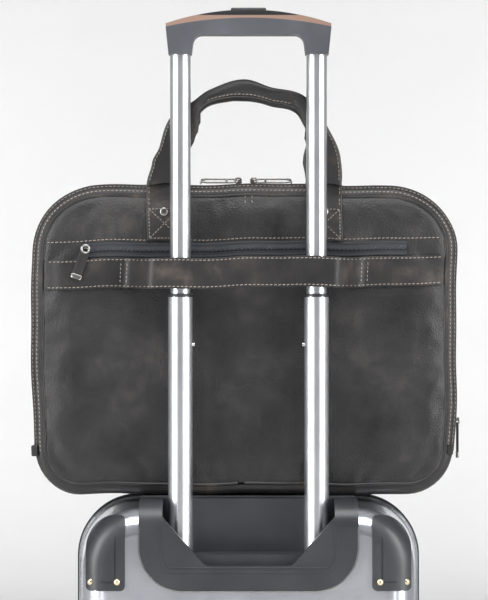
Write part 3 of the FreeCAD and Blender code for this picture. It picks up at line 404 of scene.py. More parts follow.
def lacquered(n, given):
    """Nearly smooth gloss: faint orange peel, slow colour drift and hairline scratches."""
    place = given["Place"]
    peel = n.noise(place, given["Peel"], 2.0)
    slow = n.noise(place, 9.0, 2.0)
    hair = n.noise(place, 40.0, 6.0, 0.75, (1.0, 1.0, 0.12))
    near = n.span(n.math("ABSOLUTE", n.math("SUBTRACT", hair, 0.5)), 0.0, 0.006, 1.0, 0.0)
    wear = n.math("MULTIPLY", near, n.span(slow, 0.5, 0.65))
    return slow, wear, n.math("SUBTRACT", peel, n.math("MULTIPLY", wear, 0.3))


def twisted(n, given):
    """Plies that twist round a sewing thread."""
    place = given["Place"]
    parts = n.add("ShaderNodeSeparateXYZ", Vector=place)
    run = n.math("ADD", n.math("ADD", parts.outputs[0], parts.outputs[1]), parts.outputs[2])
    plies = n.span(n.math("SINE", n.math("MULTIPLY", run, given["Plies"])), -1.0, 1.0)
    dirt = n.noise(place, 120.0, 3.0)
    tone = n.math("ADD", n.math("MULTIPLY", plies, 0.5), n.math("MULTIPLY", dirt, 0.5))
    return tone, n.span(dirt, 0.5, 0.7), plies


HIDE = effect("hide_grain", {"Pebbles": 700.0, "Creases": 0.25}, hide_grain)
WEAVE = effect("woven_threads", {"Threads": 5200.0}, woven)
MOULD = effect("moulding_grain", {"Grain": 1300.0}, moulded)
DRAWN = effect("drawn_lines", {"X lines": 3000.0, "Y lines": 3000.0, "Z lines": 4.0}, drawn)
LACQUER = effect("lacquer_peel", {"Peel": 220.0}, lacquered)
THREAD = effect("twisted_plies", {"Plies": 4000.0}, twisted)


def finish(name, group, dark, light, worn, rough, bump, depth=0.0002, values=None, **shader):
    """A material whose colour runs from dark to light and to worn, and its roughness with it."""
    material = bpy.data.materials.new(name)
    material.use_nodes = True
    n = Nodes(material.node_tree)
    surface = material.node_tree.nodes["Principled BSDF"]
    where = n.add("ShaderNodeTexCoord")
    look = n.add("ShaderNodeGroup", {"node_tree": group}, Place=where.outputs["Object"])
    for key, number in (values or {}).items():
        look.inputs[key].default_value = number
    tone = n.span(look.outputs["Tone"], 0.25, 0.75)
    colour = n.blend(tone, (*dark, 1), (*light, 1))
    wear = n.math("MULTIPLY", look.outputs["Wear"], worn[3] if len(worn) > 3 else 0.7)
    colour = n.blend(wear, colour, (*worn[:3], 1))
    n.feed(surface, "Base Color", colour)
    spread = n.span(tone, 0.0, 1.0, rough[0], rough[1])
    n.feed(surface, "Roughness", n.math("ADD", spread, n.math("MULTIPLY", wear, 0.12), True))
    bumped = n.add("ShaderNodeBump", Strength=bump, Distance=depth, Height=look.outputs["Height"])
    n.feed(surface, "Normal", bumped.outputs[0])
    for key, number in shader.items():
        surface.inputs[key.replace("_", " ")].default_value = number
    return material


leather = finish(
    "black_pull_up_leather", HIDE, (0.0036, 0.0036, 0.0040), (0.021, 0.0202, 0.0206),
    (0.062, 0.050, 0.044, 0.50), (0.30, 0.58), 0.8, 0.0009, Specular_IOR_Level=0.40,
)
soft_leather = finish(
    "rubbed_edge_leather", HIDE, (0.0070, 0.0067, 0.0070), (0.028, 0.0260, 0.0255),
    (0.11, 0.080, 0.062, 0.7), (0.34, 0.52), 0.6, 0.0006,
    {"Pebbles": 850.0, "Creases": 0.8}, Specular_IOR_Level=0.35,
)
tape = finish(
    "woven_zip_tape", WEAVE, (0.006, 0.0072, 0.0105), (0.017, 0.0195, 0.026),
    (0.045, 0.045, 0.05), (0.6, 0.8), 0.6, 0.0003,
)
coil_finish = finish(
    "zip_coil_nylon", THREAD, (0.010, 0.012, 0.018), (0.030, 0.034, 0.046),
    (0.06, 0.06, 0.07), (0.32, 0.45), 0.2,
)
lining = finish(
    "woven_grey_lining", WEAVE, (0.10, 0.10, 0.11), (0.20, 0.20, 0.21),
    (0.25, 0.25, 0.25), (0.75, 0.9), 0.5, 0.0003, {"Threads": 3600.0},
)
thread = finish(
    "pale_sewing_thread", THREAD, (0.15, 0.130, 0.115), (0.34, 0.300, 0.265),
    (0.16, 0.13, 0.11), (0.6, 0.75), 0.5,
)
shell_gloss = finish(
    "silver_shell_lacquer", LACQUER, (0.56, 0.58, 0.63), (0.70, 0.72, 0.77),
    (0.62, 0.63, 0.65, 0.35), (0.20, 0.28), 0.10, 0.0006,
    Metallic=0.92, Coat_Weight=0.5, Coat_Roughness=0.06,
)
plastic = finish(
    "satin_black_moulding", MOULD, (0.015, 0.0165, 0.019), (0.027, 0.029, 0.033),
    (0.06, 0.06, 0.062, 0.5), (0.34, 0.46), 0.25, 0.00015,
)
charcoal = finish(
    "charcoal_grip_moulding", MOULD, (0.040, 0.043, 0.050), (0.070, 0.074, 0.084),
    (0.12, 0.12, 0.13, 0.4), (0.38, 0.5), 0.5, 0.0002, {"Grain": 1600.0},
)
black_cover = finish(
    "black_grip_cover", MOULD, (0.009, 0.010, 0.011), (0.016, 0.017, 0.019),
    (0.04, 0.04, 0.042, 0.4), (0.30, 0.4), 0.2, 0.0001,
)
bronze = finish(
    "bronze_trim_lacquer", LACQUER, (0.235, 0.150, 0.115), (0.30, 0.20, 0.155),
    (0.38, 0.28, 0.22, 0.6), (0.34, 0.44), 0.2, 0.0002, Metallic=0.35,
)
anodised = finish(
    "satin_anodised_tube", DRAWN, (0.70, 0.72, 0.76), (0.86, 0.88, 0.91),
    (0.66, 0.67, 0.69, 0.2), (0.29, 0.33), 0.03, 0.00002, Metallic=1.0,
)
steel = finish(
    "plain_steel", DRAWN, (0.48, 0.48, 0.49), (0.64, 0.64, 0.65), (0.4, 0.4, 0.4, 0.4),
    (0.22, 0.34), 0.1, 0.00005, {"X lines": 900.0, "Y lines": 900.0, "Z lines": 900.0},
    Metallic=1.0,
)
chrome = finish(
    "polished_gunmetal", DRAWN, (0.30, 0.29, 0.28), (0.46, 0.45, 0.44),
    (0.3, 0.29, 0.28, 0.4), (0.20, 0.30), 0.05, 0.00003,
    {"X lines": 700.0, "Y lines": 700.0, "Z lines": 700.0}, Metallic=1.0,
)
brass = finish(
    "brassy_rivet", DRAWN, (0.52, 0.42, 0.27), (0.70, 0.60, 0.42), (0.3, 0.24, 0.16, 0.5),
    (0.18, 0.28), 0.05, 0.00003, {"X lines": 600.0, "Y lines": 600.0, "Z lines": 600.0},
    Metallic=1.0,
)
rubber = finish(
    "tread_rubber", MOULD, (0.016, 0.016, 0.017), (0.030, 0.030, 0.032),
    (0.10, 0.095, 0.09, 0.6), (0.55, 0.75), 0.4, 0.0002,
)
nylon_ring = finish(
    "nylon_collar", MOULD, (0.010, 0.010, 0.011), (0.020, 0.020, 0.022),
    (0.05, 0.05, 0.05, 0.4), (0.4, 0.5), 0.2, 0.0001,
)

FINISH_OF_SLOT = {
    "shell": shell_gloss, "bezel": plastic, "tape": tape, "lining": lining, "tube": anodised,
    "steel": steel, "collar": nylon_ring, "grip": charcoal, "cover": black_cover,
    "trim": bronze, "tyre": rubber, "rivet": brass, "leather": leather, "hardware": chrome,
}
for row in frame["record"]["subparts"]:
    node = frame["nodes"][row["node"]]
    node.data.materials.clear()
    node.data.materials.append(FINISH_OF_SLOT[row["material_slot"]])

# ---------------------------------------------------------------- shape of the laptop bag

gusset_low, gusset_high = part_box("rear_gusset")
front_low, front_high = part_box("front_gusset")
base_low, base_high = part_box("base_panel")
panel_low, panel_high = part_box("back_panel")
face_low, face_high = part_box("front_panel")
bag_mid = (gusset_low.x + gusset_high.x) / 2
bag_half = (gusset_high.x - gusset_low.x) / 2
bag_top = gusset_high.z
bag_bottom = base_low.z
bag_back = panel_low.y
bag_front = face_high.y
seam_z = gusset_low.z
TOP_CORNER = 0.066
BOTTOM_CORNER = 0.046
PANEL_INSET = gusset_high.x - panel_high.x


def ease(number, low, high):
    """From 0 at low to 1 at high, level at both."""
    t = min(1.0, max(0.0, (number - low) / (high - low)))
    return t * t * (3 - 2 * t)


def slouch(co):
    """Where soft leather comes to rest: top corners droop, the sides draw in towards the base,
    and all of it wanders a little, so that pieces sewn together stay together."""
    aside = (co.x - bag_mid) / bag_half
    high = ease(co.z, bag_top - 0.11, bag_top)
    low = 1 - ease(co.z, bag_bottom + 0.01, bag_bottom + 0.12)
    drift = Vector((
        math.sin(co.z * 31 + 1.3) * 0.0007 + math.sin(co.z * 73 + co.y * 20) * 0.0004,
        math.sin(co.x * 27 + co.z * 19) * 0.0007 + math.sin(co.z * 47 - co.x * 33) * 0.0005,
        math.sin(co.x * 38 + 0.6) * 0.0008 + math.sin(co.x * 91 + 2.0) * 0.0004,
    ))
    calm = ease(co.z, bag_top + 0.03, bag_top + 0.002)
    moved = co + drift * calm
    moved.z -= 0.0042 * high * min(1.0, abs(aside)) ** 3
    moved.x -= 0.0040 * aside * low * min(1.0, abs(aside))
    return moved


def soften(piece):
    for vert in piece.data.vertices:
        vert.co = slouch(vert.co)
    piece.data.update()
    return piece


def bag_line(inset, y, spacing=0.007):
    """Points round the bag's outline, set in by a distance, from the middle of the base. Each is
    a place and the direction away from the bag."""
    corners = (
        (bag_mid + bag_half, bag_bottom, BOTTOM_CORNER, -90),
        (bag_mid + bag_half, bag_top, TOP_CORNER, 0),
        (bag_mid - bag_half, bag_top, TOP_CORNER, 90),
        (bag_mid - bag_half, bag_bottom, BOTTOM_CORNER, 180),
    )
    spots = [(Vector((bag_mid, y, bag_bottom + inset)), Vector((0, 0, -1)))]
    for x, z, radius, first in corners:
        sx = 1 if x > bag_mid else -1
        sz = 1 if z > bag_top - radius else -1
        centre = Vector((x - sx * radius, y, z - sz * radius))
        steps = max(6, round(radius * math.pi / 2 / spacing))
        for step in range(steps + 1):
            turn = math.radians(first + 90 * step / steps)
            away = Vector((math.cos(turn), 0, math.sin(turn)))
            spots.append((centre + away * (radius - inset), away))
    spots.append((Vector((bag_mid, y, bag_bottom + inset)), Vector((0, 0, -1))))
    line = []
    for (a, na), (b, nb) in zip(spots, spots[1:]):
        parts = max(1, round((b - a).length / spacing))
        for part in range(parts):
            share = part / parts
            line.append((a.lerp(b, share), (na.lerp(nb, share)).normalized()))
    return line


def above_seam(line):
    """The part of a line above the base seam, from the right end over the top to the left."""
    kept = [spot for spot in line if spot[0].z > seam_z + 0.001]
    first = Vector((kept[0][0].x, kept[0][0].y, seam_z))
    last = Vector((kept[-1][0].x, kept[-1][0].y, seam_z))
    return [(first, kept[0][1])] + kept + [(last, kept[-1][1])]


def below_seam(line):
    """The part of a line round the base, from the left seam to the right one."""
    first_up = next(i for i, spot in enumerate(line) if spot[0].z > seam_z)
    last_up = max(i for i, spot in enumerate(line) if spot[0].z > seam_z)
    kept = line[last_up + 1 :] + line[:first_up]
    first = Vector((kept[0][0].x, kept[0][0].y, seam_z))
    last = Vector((kept[-1][0].x, kept[-1][0].y, seam_z))
    return [(first, kept[0][1])] + kept + [(last, kept[-1][1])]


def round_the_bag(spot):
    """A station whose u runs along Y and whose v runs away from the bag."""
    place, away = spot
    return lambda u, v: place + Vector((0, u, 0)) + away * v


def lipped(y0, y1, rear_lip, front_lip, crown, wall=0.0035, edge=0.009, mouth=0.0095):
    """A strip's section: its outer side bulges by the crown, and a lip curls in at an end."""
    outer = []
    start = y0 + (edge if rear_lip else 0)
    end = y1 - (edge if front_lip else 0)
    if rear_lip:
        outer += [
            (y0 + edge * (1 - math.cos(a)), -mouth + mouth * math.sin(a))
            for a in (0, 0.4, 0.8, 1.2)
        ]
    for step in range(7):
        share = step / 6
        bulge = crown * math.sin(math.pi * share) ** 0.6 if 0 < step < 6 else 0
        outer.append((start + (end - start) * share, bulge))
    if front_lip:
        outer += [
            (y1 - edge * (1 - math.cos(a)), -mouth + mouth * math.sin(a))
            for a in (1.2, 0.8, 0.4, 0)
        ]
    low = y0 + (wall if rear_lip else 0)
    high = y1 - (wall if front_lip else 0)
    inner = [
        (min(max(u, low), high), min(v, 0) - wall if -mouth < v - wall else -mouth)
        for u, v in reversed(outer)
    ]
    return outer + inner


def strip(name, y0, y1, rear_lip, front_lip, crown, cut_line, sunk=0.0):
    section = [(u, v - sunk) for u, v in lipped(y0, y1, rear_lip, front_lip, crown)]
    piece = sweep(name, section, [round_the_bag(s) for s in cut_line])
    return smooth(soften(piece), 50)


line = bag_line(0, 0)
upper_line = above_seam(line)
lower_line = below_seam(line)
main_low, main_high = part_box("main_zip")
growth_low, growth_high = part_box("expansion_zip")
middle_low, middle_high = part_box("middle_gusset")
leather_strips = (
    ("rear_gusset", gusset_low.y, gusset_high.y, True, False, upper_line),
    ("middle_gusset", middle_low.y, middle_high.y, False, False, upper_line),
    ("front_gusset", front_low.y, front_high.y, False, True, upper_line),
    ("base_panel", base_low.y, base_high.y, True, True, lower_line),
)
for node, y0, y1, rear_lip, front_lip, cut_line in leather_strips:
    piece = strip("sewn_" + node, y0, y1, rear_lip, front_lip, 0.0016, cut_line)
    done(piece, "bag", soft_leather, "leather", node)
for node, low, high in (
    ("main_zip", main_low, main_high), ("expansion_zip", growth_low, growth_high),
):
    piece = strip("tape_of_" + node, low.y, high.y, False, False, 0.0, upper_line, 0.0016)
    done(piece, "bag", tape, "tape", node)


def zip_teeth(name, spots, pitch, wide, tall):
    """Moulded teeth in two rows that meet along a line; each spot has a place and an outward."""
    deselect()
    bpy.ops.mesh.primitive_cube_add(size=1, scale=(pitch * 0.5, wide, tall))
    pattern = settle(bpy.context.active_object)
    bpy.ops.object.mode_set(mode="EDIT")
    bpy.ops.mesh.select_all(action="SELECT")
    bpy.ops.mesh.bevel(offset=tall * 0.22, segments=1, affect="EDGES")
    bpy.ops.object.mode_set(mode="OBJECT")
    places = []
    for index, (place, along, away) in enumerate(spots):
        side = 1 if index % 2 else -1
        across = along.cross(away).normalized()
        places.append(facing(place + across * side * wide * 0.32, along, away))
    return copies(name, pattern, places)


def along_line(cut_line, y, lift, pitch):
    """Places, directions and outwards along a bag line, at a depth and a height above it."""
    points = [place + Vector((0, y, 0)) + away * lift for place, away in cut_line]
    normals = [away for place, away in cut_line]
    spots = []
    for place, along in measured(points, pitch):
        nearest = min(range(len(points)), key=lambda i: (points[i] - place).length_squared)
        spots.append((place, along, normals[nearest]))
    return spots


for name, low, high in (
    ("main_zip_teeth", main_low, main_high), ("growth_zip_teeth", growth_low, growth_high),
):
    spots = along_line(upper_line, (low.y + high.y) / 2, -0.0006, 0.0024)
    piece = soften(zip_teeth(name, spots, 0.0024, 0.0034, 0.0016))
    done(piece, "bag", coil_finish, "tape")


# ---------------------------------------------------------------- stitches


def stitch_pattern(long, thick):
    """One stitch: a short thread whose ends dive into the leather."""
    deselect()
    bpy.ops.mesh.primitive_cylinder_add(
        vertices=6, radius=thick / 2, depth=long * 0.55, rotation=(0, math.pi / 2, 0)
    )
    pattern = settle(bpy.context.active_object)
    bpy.ops.object.mode_set(mode="EDIT")
    mesh = bmesh.from_edit_mesh(pattern.data)
    for face in mesh.faces:
        face.select = abs(face.normal.x) > 0.9
    bmesh.update_edit_mesh(pattern.data)
    bpy.ops.mesh.extrude_faces_move(
        TRANSFORM_OT_shrink_fatten={"value": long * 0.2}
    )
    bpy.ops.transform.resize(value=(1, 0.45, 0.45))
    mesh = bmesh.from_edit_mesh(pattern.data)
    for vert in mesh.verts:
        if vert.select:
            vert.co.z -= thick * 0.55
    bmesh.update_edit_mesh(pattern.data)
    bpy.ops.object.mode_set(mode="OBJECT")
    return pattern


def stitches(name, spots, long=0.0033, thick=0.0009, slant=0.12):
    """Stitches at each place, direction and outward, each a little askew."""
    pattern = stitch_pattern(long, thick)
    places = []
    for place, along, away in spots:
        askew = Matrix.Rotation(slant + chance.uniform(-0.09, 0.09), 4, "Z")
        places.append(facing(place, along, away) @ askew)
    return copies(name, pattern, places)


def seam(points, away, pitch=0.0043):
    """Places for stitches along straight runs between points on a flat face."""
    return [(place, along, Vector(away)) for place, along in measured(points, pitch)]

# ---------------------------------------------------------------- padded panels


VOXEL = 0.005
HELD_EDGE = 0.006
CLOTH_STEPS = 20


def inflate(piece, held, cap, pressure=4.0, slack=-0.012):
    """Fills a pad by cloth simulation, keeps its held part still and caps how far it swells."""
    still = [vert.co.copy() for vert in piece.data.vertices]
    pinned = piece.vertex_groups.new(name="held")
    pinned.add([i for i, co in enumerate(still) if held(co)], 1.0, "REPLACE")
    cloth = piece.modifiers.new("Cloth", "CLOTH")
    cloth.settings.quality = 5
    cloth.settings.vertex_group_mass = "held"
    cloth.settings.use_pressure = True
    cloth.settings.uniform_pressure_force = pressure
    cloth.settings.shrink_min = slack
    cloth.settings.effector_weights.gravity = 0
    cloth.point_cache.frame_start = 1
    cloth.point_cache.frame_end = CLOTH_STEPS
    for step in range(1, CLOTH_STEPS + 1):
        scene.frame_set(step)
    swollen = piece.evaluated_get(bpy.context.evaluated_depsgraph_get())
    moved = [vert.co.copy() for vert in swollen.data.vertices]
    piece.modifiers.remove(cloth)
    for vert, was, now in zip(piece.data.vertices, still, moved):
        move = now - was
        if move.length > cap:
            move *= cap / move.length
        vert.co = was + move
    scene.frame_set(1)
    piece.data.update()


def pad(name, ring, y0, y1, cap):
    """A filled panel between two depths; ring is its outline."""
    section = [(place.x, place.z) for place in ring]
    levels = [lambda u, v, y=y: Vector((u, y, v)) for y in (y0, y1)]
    piece = sweep(name, section, levels)
    apply_modifier(piece, "REMESH", mode="VOXEL", voxel_size=VOXEL)

    def inset_of(co):
        return min(math.hypot(co.x - x, co.z - z) for x, z in section)

    depth = [inset_of(vert.co) for vert in piece.data.vertices]
    near = {tuple(vert.co): inset for vert, inset in zip(piece.data.vertices, depth)}
    inflate(piece, lambda co: near[tuple(co)] < HELD_EDGE, cap)
    apply_modifier(piece, "SUBSURF", levels=1, render_levels=1)
    soften(piece)
    smooth(piece, 60)
    return piece


# Soft folds that the rear panel keeps: both ends in x and z about the bag's middle, then the
# width and the height of the fold.
FOLDS = (
    (-0.178, 0.020, -0.118, -0.012, 0.010, 0.0016),
    (-0.186, -0.030, -0.130, -0.006, 0.008, -0.0012),
    (-0.182, 0.050, -0.172, -0.075, 0.009, 0.0012), (-0.150, -0.080, -0.090, -0.060, 0.014, 0.0010),
    (0.120, 0.105, 0.176, 0.070, 0.012, 0.0012), (0.100, -0.010, 0.150, -0.060, 0.014, 0.0012),
    (0.176, 0.040, 0.168, -0.060, 0.010, 0.0014), (-0.160, 0.125, -0.110, 0.100, 0.012, 0.0014),
    (-0.178, -0.100, -0.120, -0.128, 0.012, 0.0012), (0.060, -0.110, 0.150, -0.095, 0.014, 0.0010),
    (-0.040, -0.130, 0.030, -0.125, 0.010, 0.0010), (-0.060, 0.120, 0.020, 0.128, 0.010, 0.0008),
)


def crease(piece, side):
    """Presses the panel's soft folds into its outer face."""
    centre = Vector((bag_mid, 0, (bag_bottom + bag_top) / 2))
    for vert in piece.data.vertices:
        spot = vert.co - centre
        push = 0.0
        for ax, az, bx, bz, wide, tall in FOLDS:
            run = Vector((bx - ax, 0, bz - az))
            share = (Vector((spot.x - ax, 0, spot.z - az)).dot(run)) / run.length_squared
            bend = 0.006 * math.sin(share * math.pi * 1.3)
            aside = Vector((spot.x - ax, 0, spot.z - az)).cross(run.normalized()).length + bend
            fade = ease(share, -0.1, 0.3) * (1 - ease(share, 0.7, 1.1))
            push += tall * fade * math.exp(-((aside / wide) ** 2))
        outer = 0.5 + 0.5 * side * (vert.co.y - (panel_high.y + panel_low.y) / 2) / 0.002
        vert.co.y += side * push * max(0.0, min(1.0, outer))
    piece.data.update()
    return piece


back_ring = [place for place, away in bag_line(PANEL_INSET - 0.0042, 0, 0.012)]
back_pad = pad("padded_back", back_ring, bag_back - 0.0008, panel_high.y + 0.002, 0.0042)
front_pad = pad("padded_front", back_ring, face_low.y - 0.002, bag_front + 0.0008, 0.0042)
done(crease(back_pad, -1), "bag", leather, "leather", "back_panel")
done(front_pad, "bag", leather, "leather", "front_panel")

pocket_low, pocket_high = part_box("front_pocket")
POCKET_ROUND = 0.014


def oblong(low, high, radius, spacing=0.012):
    """The outline of a plate with rounded corners, in X and Z."""
    ring = []
    for x, z, first in (
        (high.x - radius, low.z + radius, -90), (high.x - radius, high.z - radius, 0),
        (low.x + radius, high.z - radius, 90), (low.x + radius, low.z + radius, 180),
    ):
        for step in range(7):
            turn = math.radians(first + 15 * step)
            ring.append(Vector((x + radius * math.cos(turn), 0, z + radius * math.sin(turn))))
    line = []
    for a, b in zip(ring, ring[1:] + ring[:1]):
        parts = max(1, round((b - a).length / spacing))
        line += [a.lerp(b, part / parts) for part in range(parts)]
    return line


POCKET_IN = Vector((0.002, 0, 0.002))
pocket_ring = oblong(pocket_low + POCKET_IN, pocket_high - POCKET_IN, POCKET_ROUND)
pocket_pad = pad(
    "padded_pocket", pocket_ring, bag_front + 0.001, pocket_high.y - 0.004, 0.0035
)
done(pocket_pad, "bag", leather, "leather", "front_pocket")


def skin_of(piece, side):
    """The depth of a panel's outer face at any x and z; side is the way that it faces."""
    tree = BVHTree.FromObject(piece, bpy.context.evaluated_depsgraph_get())
    edge = bag_back if side < 0 else bag_front

    def depth(x, z):
        start = Vector((x, side * 0.4, z))
        hit = tree.ray_cast(start, Vector((0, -side, 0)))[0]
        return hit.y if hit else edge

    return depth


back_skin = skin_of(back_pad, -1)
front_skin = skin_of(front_pad, 1)


def lay(piece, skin):
    """Drapes a piece made about Y = 0 on a panel's face."""
    for vert in piece.data.vertices:
        spot = slouch(Vector((vert.co.x, 0, vert.co.z)))
        vert.co = Vector((spot.x, vert.co.y + skin(spot.x, spot.z), spot.z))
    piece.data.update()
    return piece


def lay_stitches(name, spots, skin, lift, side, slant=0.12, **sizes):
    """Stitches on a face, at a height above the skin of the panel below."""
    placed = []
    for place, along, away in spots:
        spot = slouch(Vector((place.x, 0, place.z)))
        y = skin(spot.x, spot.z) + side * lift
        placed.append((Vector((spot.x, y, spot.z)), along, Vector((0, side, 0))))
    return stitches(name, placed, slant=slant, **sizes)


# Piping round both panels, and the seams along the strips' lips.

for name, node, y, side in (
    ("rear_piping_cord", "rear_piping", bag_back + 0.0012, -1),
    ("front_piping_cord", "front_piping", bag_front - 0.0012, 1),
):
    cord_line = bag_line(PANEL_INSET - 0.0015, y)
    piece = sweep(name, oval(0.0036, 0.0036, 2, 10), [round_the_bag(s) for s in cord_line], True)
    done(smooth(soften(piece)), "bag", soft_leather, "leather", node)


def lip_row(name, cut_line, y0, side, turn, edge=0.009, mouth=0.0095):
    """A row of stitches along the curled lip of a strip, at an angle round the curl."""
    depth = y0 - side * (edge * (1 - math.cos(turn)))
    rise = -mouth + mouth * math.sin(turn)
    points = [place + Vector((0, depth, 0)) + away * (rise + 0.0001) for place, away in cut_line]
    normals = [
        (away * math.sin(turn) + Vector((0, side, 0)) * math.cos(turn)) for _, away in cut_line
    ]
    spots = []
    for place, along in measured(points, 0.0043):
        nearest = min(range(len(points)), key=lambda i: (points[i] - place).length_squared)
        spots.append((slouch(place), along, normals[nearest]))
    return stitches(name, spots)


for name, y0, side in (("rear", gusset_low.y, -1), ("front", front_high.y, 1)):
    for row, turn in (("inner", 0.42), ("outer", 1.05)):
        piece = lip_row(f"{name}_{row}_gusset_row", upper_line, y0, side, turn)
        done(piece, "bag", thread, "leather")

# ---------------------------------------------------------------- strap, zip and tabs

strap_low, strap_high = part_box("trolley_strap")
strap_mid = (strap_low.z + strap_high.z) / 2
strap_wide = strap_high.z - strap_low.z
STRAP_THICK = 0.003
SEWN = 0.124
BRIDGE = 0.091
TILT = 0.010


def strap_depth(x):
    """How much of the strap at x is open bridge: one in its middle, none where it is sewn."""
    aside = abs(x - bag_mid)
    return 1 - ease(aside, BRIDGE, SEWN)


def strap_station(x):
    open_share = strap_depth(x)
    spot_z = strap_mid + (x - bag_mid) * TILT

    def place(u, v):
        z = spot_z + v
        here = slouch(Vector((x, 0, z)))
        sewn = back_skin(here.x, here.z) + u - STRAP_THICK / 2
        bridge = strap_low.y + STRAP_THICK / 2 + u + math.sin(x * 55 + v * 60) * 0.0004
        return Vector((here.x, sewn * (1 - open_share) + bridge * open_share, here.z))

    return place


def strap_section():
    """A flat strap's section: thickness, then width."""
    return [(v, u) for u, v in oval(strap_wide, STRAP_THICK, 9.0, 40)]


count = 150
stations = [
    strap_station(strap_low.x + (strap_high.x - strap_low.x) * step / count)
    for step in range(count + 1)
]
strap = smooth(sweep("sewn_trolley_strap", strap_section(), stations), 40)
done(strap, "bag", soft_leather, "leather", "trolley_strap")


def strap_seam(name, points):
    """Stitches on the strap's outer face; each point is an x and a height off its middle."""
    spots = []
    line = [Vector((x, 0, v)) for x, v in points]
    for place, along in measured(line, 0.0043):
        put = strap_station(place.x)
        here = put(-STRAP_THICK / 2 - 0.0001, place.z)
        further = place + along * 0.002
        ahead = strap_station(further.x)(-STRAP_THICK / 2, further.z)
        run = ahead - here
        away = Vector((0, -1, 0)) - run.normalized() * run.normalized().dot(Vector((0, -1, 0)))
        spots.append((here, run, away))
    return stitches(name, spots)


row = strap_wide / 2 - 0.0022
rows = [
    strap_seam(f"strap_row_{index}", [(strap_low.x + 0.002, v), (strap_high.x - 0.002, v)])
    for index, v in enumerate((row, -row))
]
for index, aside in enumerate((-0.1268, -0.1205, 0.1200, 0.1262)):
    x = bag_mid + aside
    rows.append(strap_seam(f"strap_bar_{index}", [(x, -row + 0.003), (x, row - 0.003)]))
done(joined("strap_stitching", rows), "bag", thread, "leather")

zip_low, zip_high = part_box("pocket_zip")
zip_mid = (zip_low.z + zip_high.z) / 2
zip_wide = zip_high.z - zip_low.z


def ribbed(width, thick, ribs, coil):
    """A zip tape's section: ribs along it and a coil down its middle."""
    outer = []
    steps = ribs * 4
    for step in range(steps + 1):
        u = -width / 2 + width * step / steps
        ridge = 0.0004 * (1 if step % 4 in (1, 2) else 0)
        swell = coil * max(0.0, 1 - (u / 0.0022) ** 2) ** 0.5 if abs(u) < 0.0022 else 0
        outer.append((u, thick + max(ridge, swell)))
    return outer + [(width / 2, 0), (-width / 2, 0)]


def zip_station(x):
    def place(u, v):
        spot = slouch(Vector((x, 0, zip_mid + (x - bag_mid) * TILT + u)))
        return Vector((spot.x, back_skin(spot.x, spot.z) - v, spot.z))

    return place


stations = [zip_station(zip_low.x + (zip_high.x - zip_low.x) * s / 80) for s in range(81)]
piece = sweep("pocket_zip_tape", ribbed(zip_wide, 0.0010, 5, 0.0016), stations)
done(smooth(piece, 50), "bag", tape, "tape", "pocket_zip")

coil_spots = []
for step in range(150):
    x = zip_low.x + 0.004 + (zip_high.x - zip_low.x - 0.008) * step / 149
    coil_spots.append((zip_station(x)(0, 0.0022), Vector((1, 0, 0)), Vector((0, -1, 0))))
piece = zip_teeth("pocket_zip_coil", coil_spots, 0.0022, 0.0022, 0.0011)
done(piece, "bag", coil_finish, "tape")

mouth = [
    (x, 0, zip_high.z + 0.0028 + (x - bag_mid) * TILT)
    for x in (zip_low.x - 0.038, zip_high.x + 0.034)
]
spots = seam(mouth, (0, -1, 0))
done(lay_stitches("pocket_mouth_row", spots, back_skin, 0.0003, -1), "bag", thread, "leather")

tabs_low, tabs_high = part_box("handle_tabs")
handle_low, handle_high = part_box("rear_handle")
TAB_WIDE = 0.037
TAB_THICK = 0.0034
BOX_TOP = 0.033
tab_side = (tabs_high.x - tabs_low.x - TAB_WIDE) / 2
all_tabs = []
all_rows = []
all_studs = []
for side, skin, name in ((-1, back_skin, "rear"), (1, front_skin, "front")):
    for sign in (-1, 1):
        x = bag_mid + sign * tab_side
        low = Vector((x - TAB_WIDE / 2, -TAB_THICK / 2, tabs_low.z))
        high = Vector((x + TAB_WIDE / 2, TAB_THICK / 2, handle_low.z + 0.0004))
        tab = block(f"{name}_tab_{sign}", low, high, 0.0011, 2)
        bpy.ops.object.mode_set(mode="EDIT")
        bpy.ops.mesh.select_all(action="SELECT")
        bpy.ops.mesh.subdivide(number_cuts=7)
        bpy.ops.object.mode_set(mode="OBJECT")
        for vert in tab.data.vertices:
            vert.co.y += side * TAB_THICK / 2
        all_tabs.append(lay(tab, skin))
        m = 0.0028
        x0, x1, z0, z1 = low.x + m, high.x - m, low.z + m, low.z + BOX_TOP
        runs = [
            [(x0, 0, z0), (x1, 0, z0), (x1, 0, z1), (x0, 0, z1), (x0, 0, z0)],
            [(x0, 0, z0), (x1, 0, z1)],
            [(x0, 0, z1), (x1, 0, z0)],
            [(x0, 0, z1 + 0.004), (x0, 0, high.z - 0.003)],
            [(x1, 0, z1 + 0.004), (x1, 0, high.z - 0.003)],
        ]
        spots = [s for run in runs for s in seam([Vector(p) for p in run], (0, side, 0), 0.0036)]
        row_name = f"{name}_tab_row_{sign}"
        all_rows.append(lay_stitches(row_name, spots, skin, TAB_THICK + 0.0002, side, long=0.0029))
        z = low.z + BOX_TOP - 0.0035
        y = skin(x, z) + side * TAB_THICK
        stud = rod(f"{name}_stud_{sign}", 0.0046, (x, y, z), (x, y + side * 0.0021, z), 28, 0.0013)
        all_studs.append(stud)
piece = smooth(joined("sewn_handle_tabs", all_tabs), 40)
done(piece, "bag", soft_leather, "leather", "handle_tabs")
done(joined("tab_stitching", all_rows), "bag", thread, "leather")
done(smooth(joined("tab_studs", all_studs), 40), "bag", chrome, "hardware", "tab_rivets")

# ---------------------------------------------------------------- handles

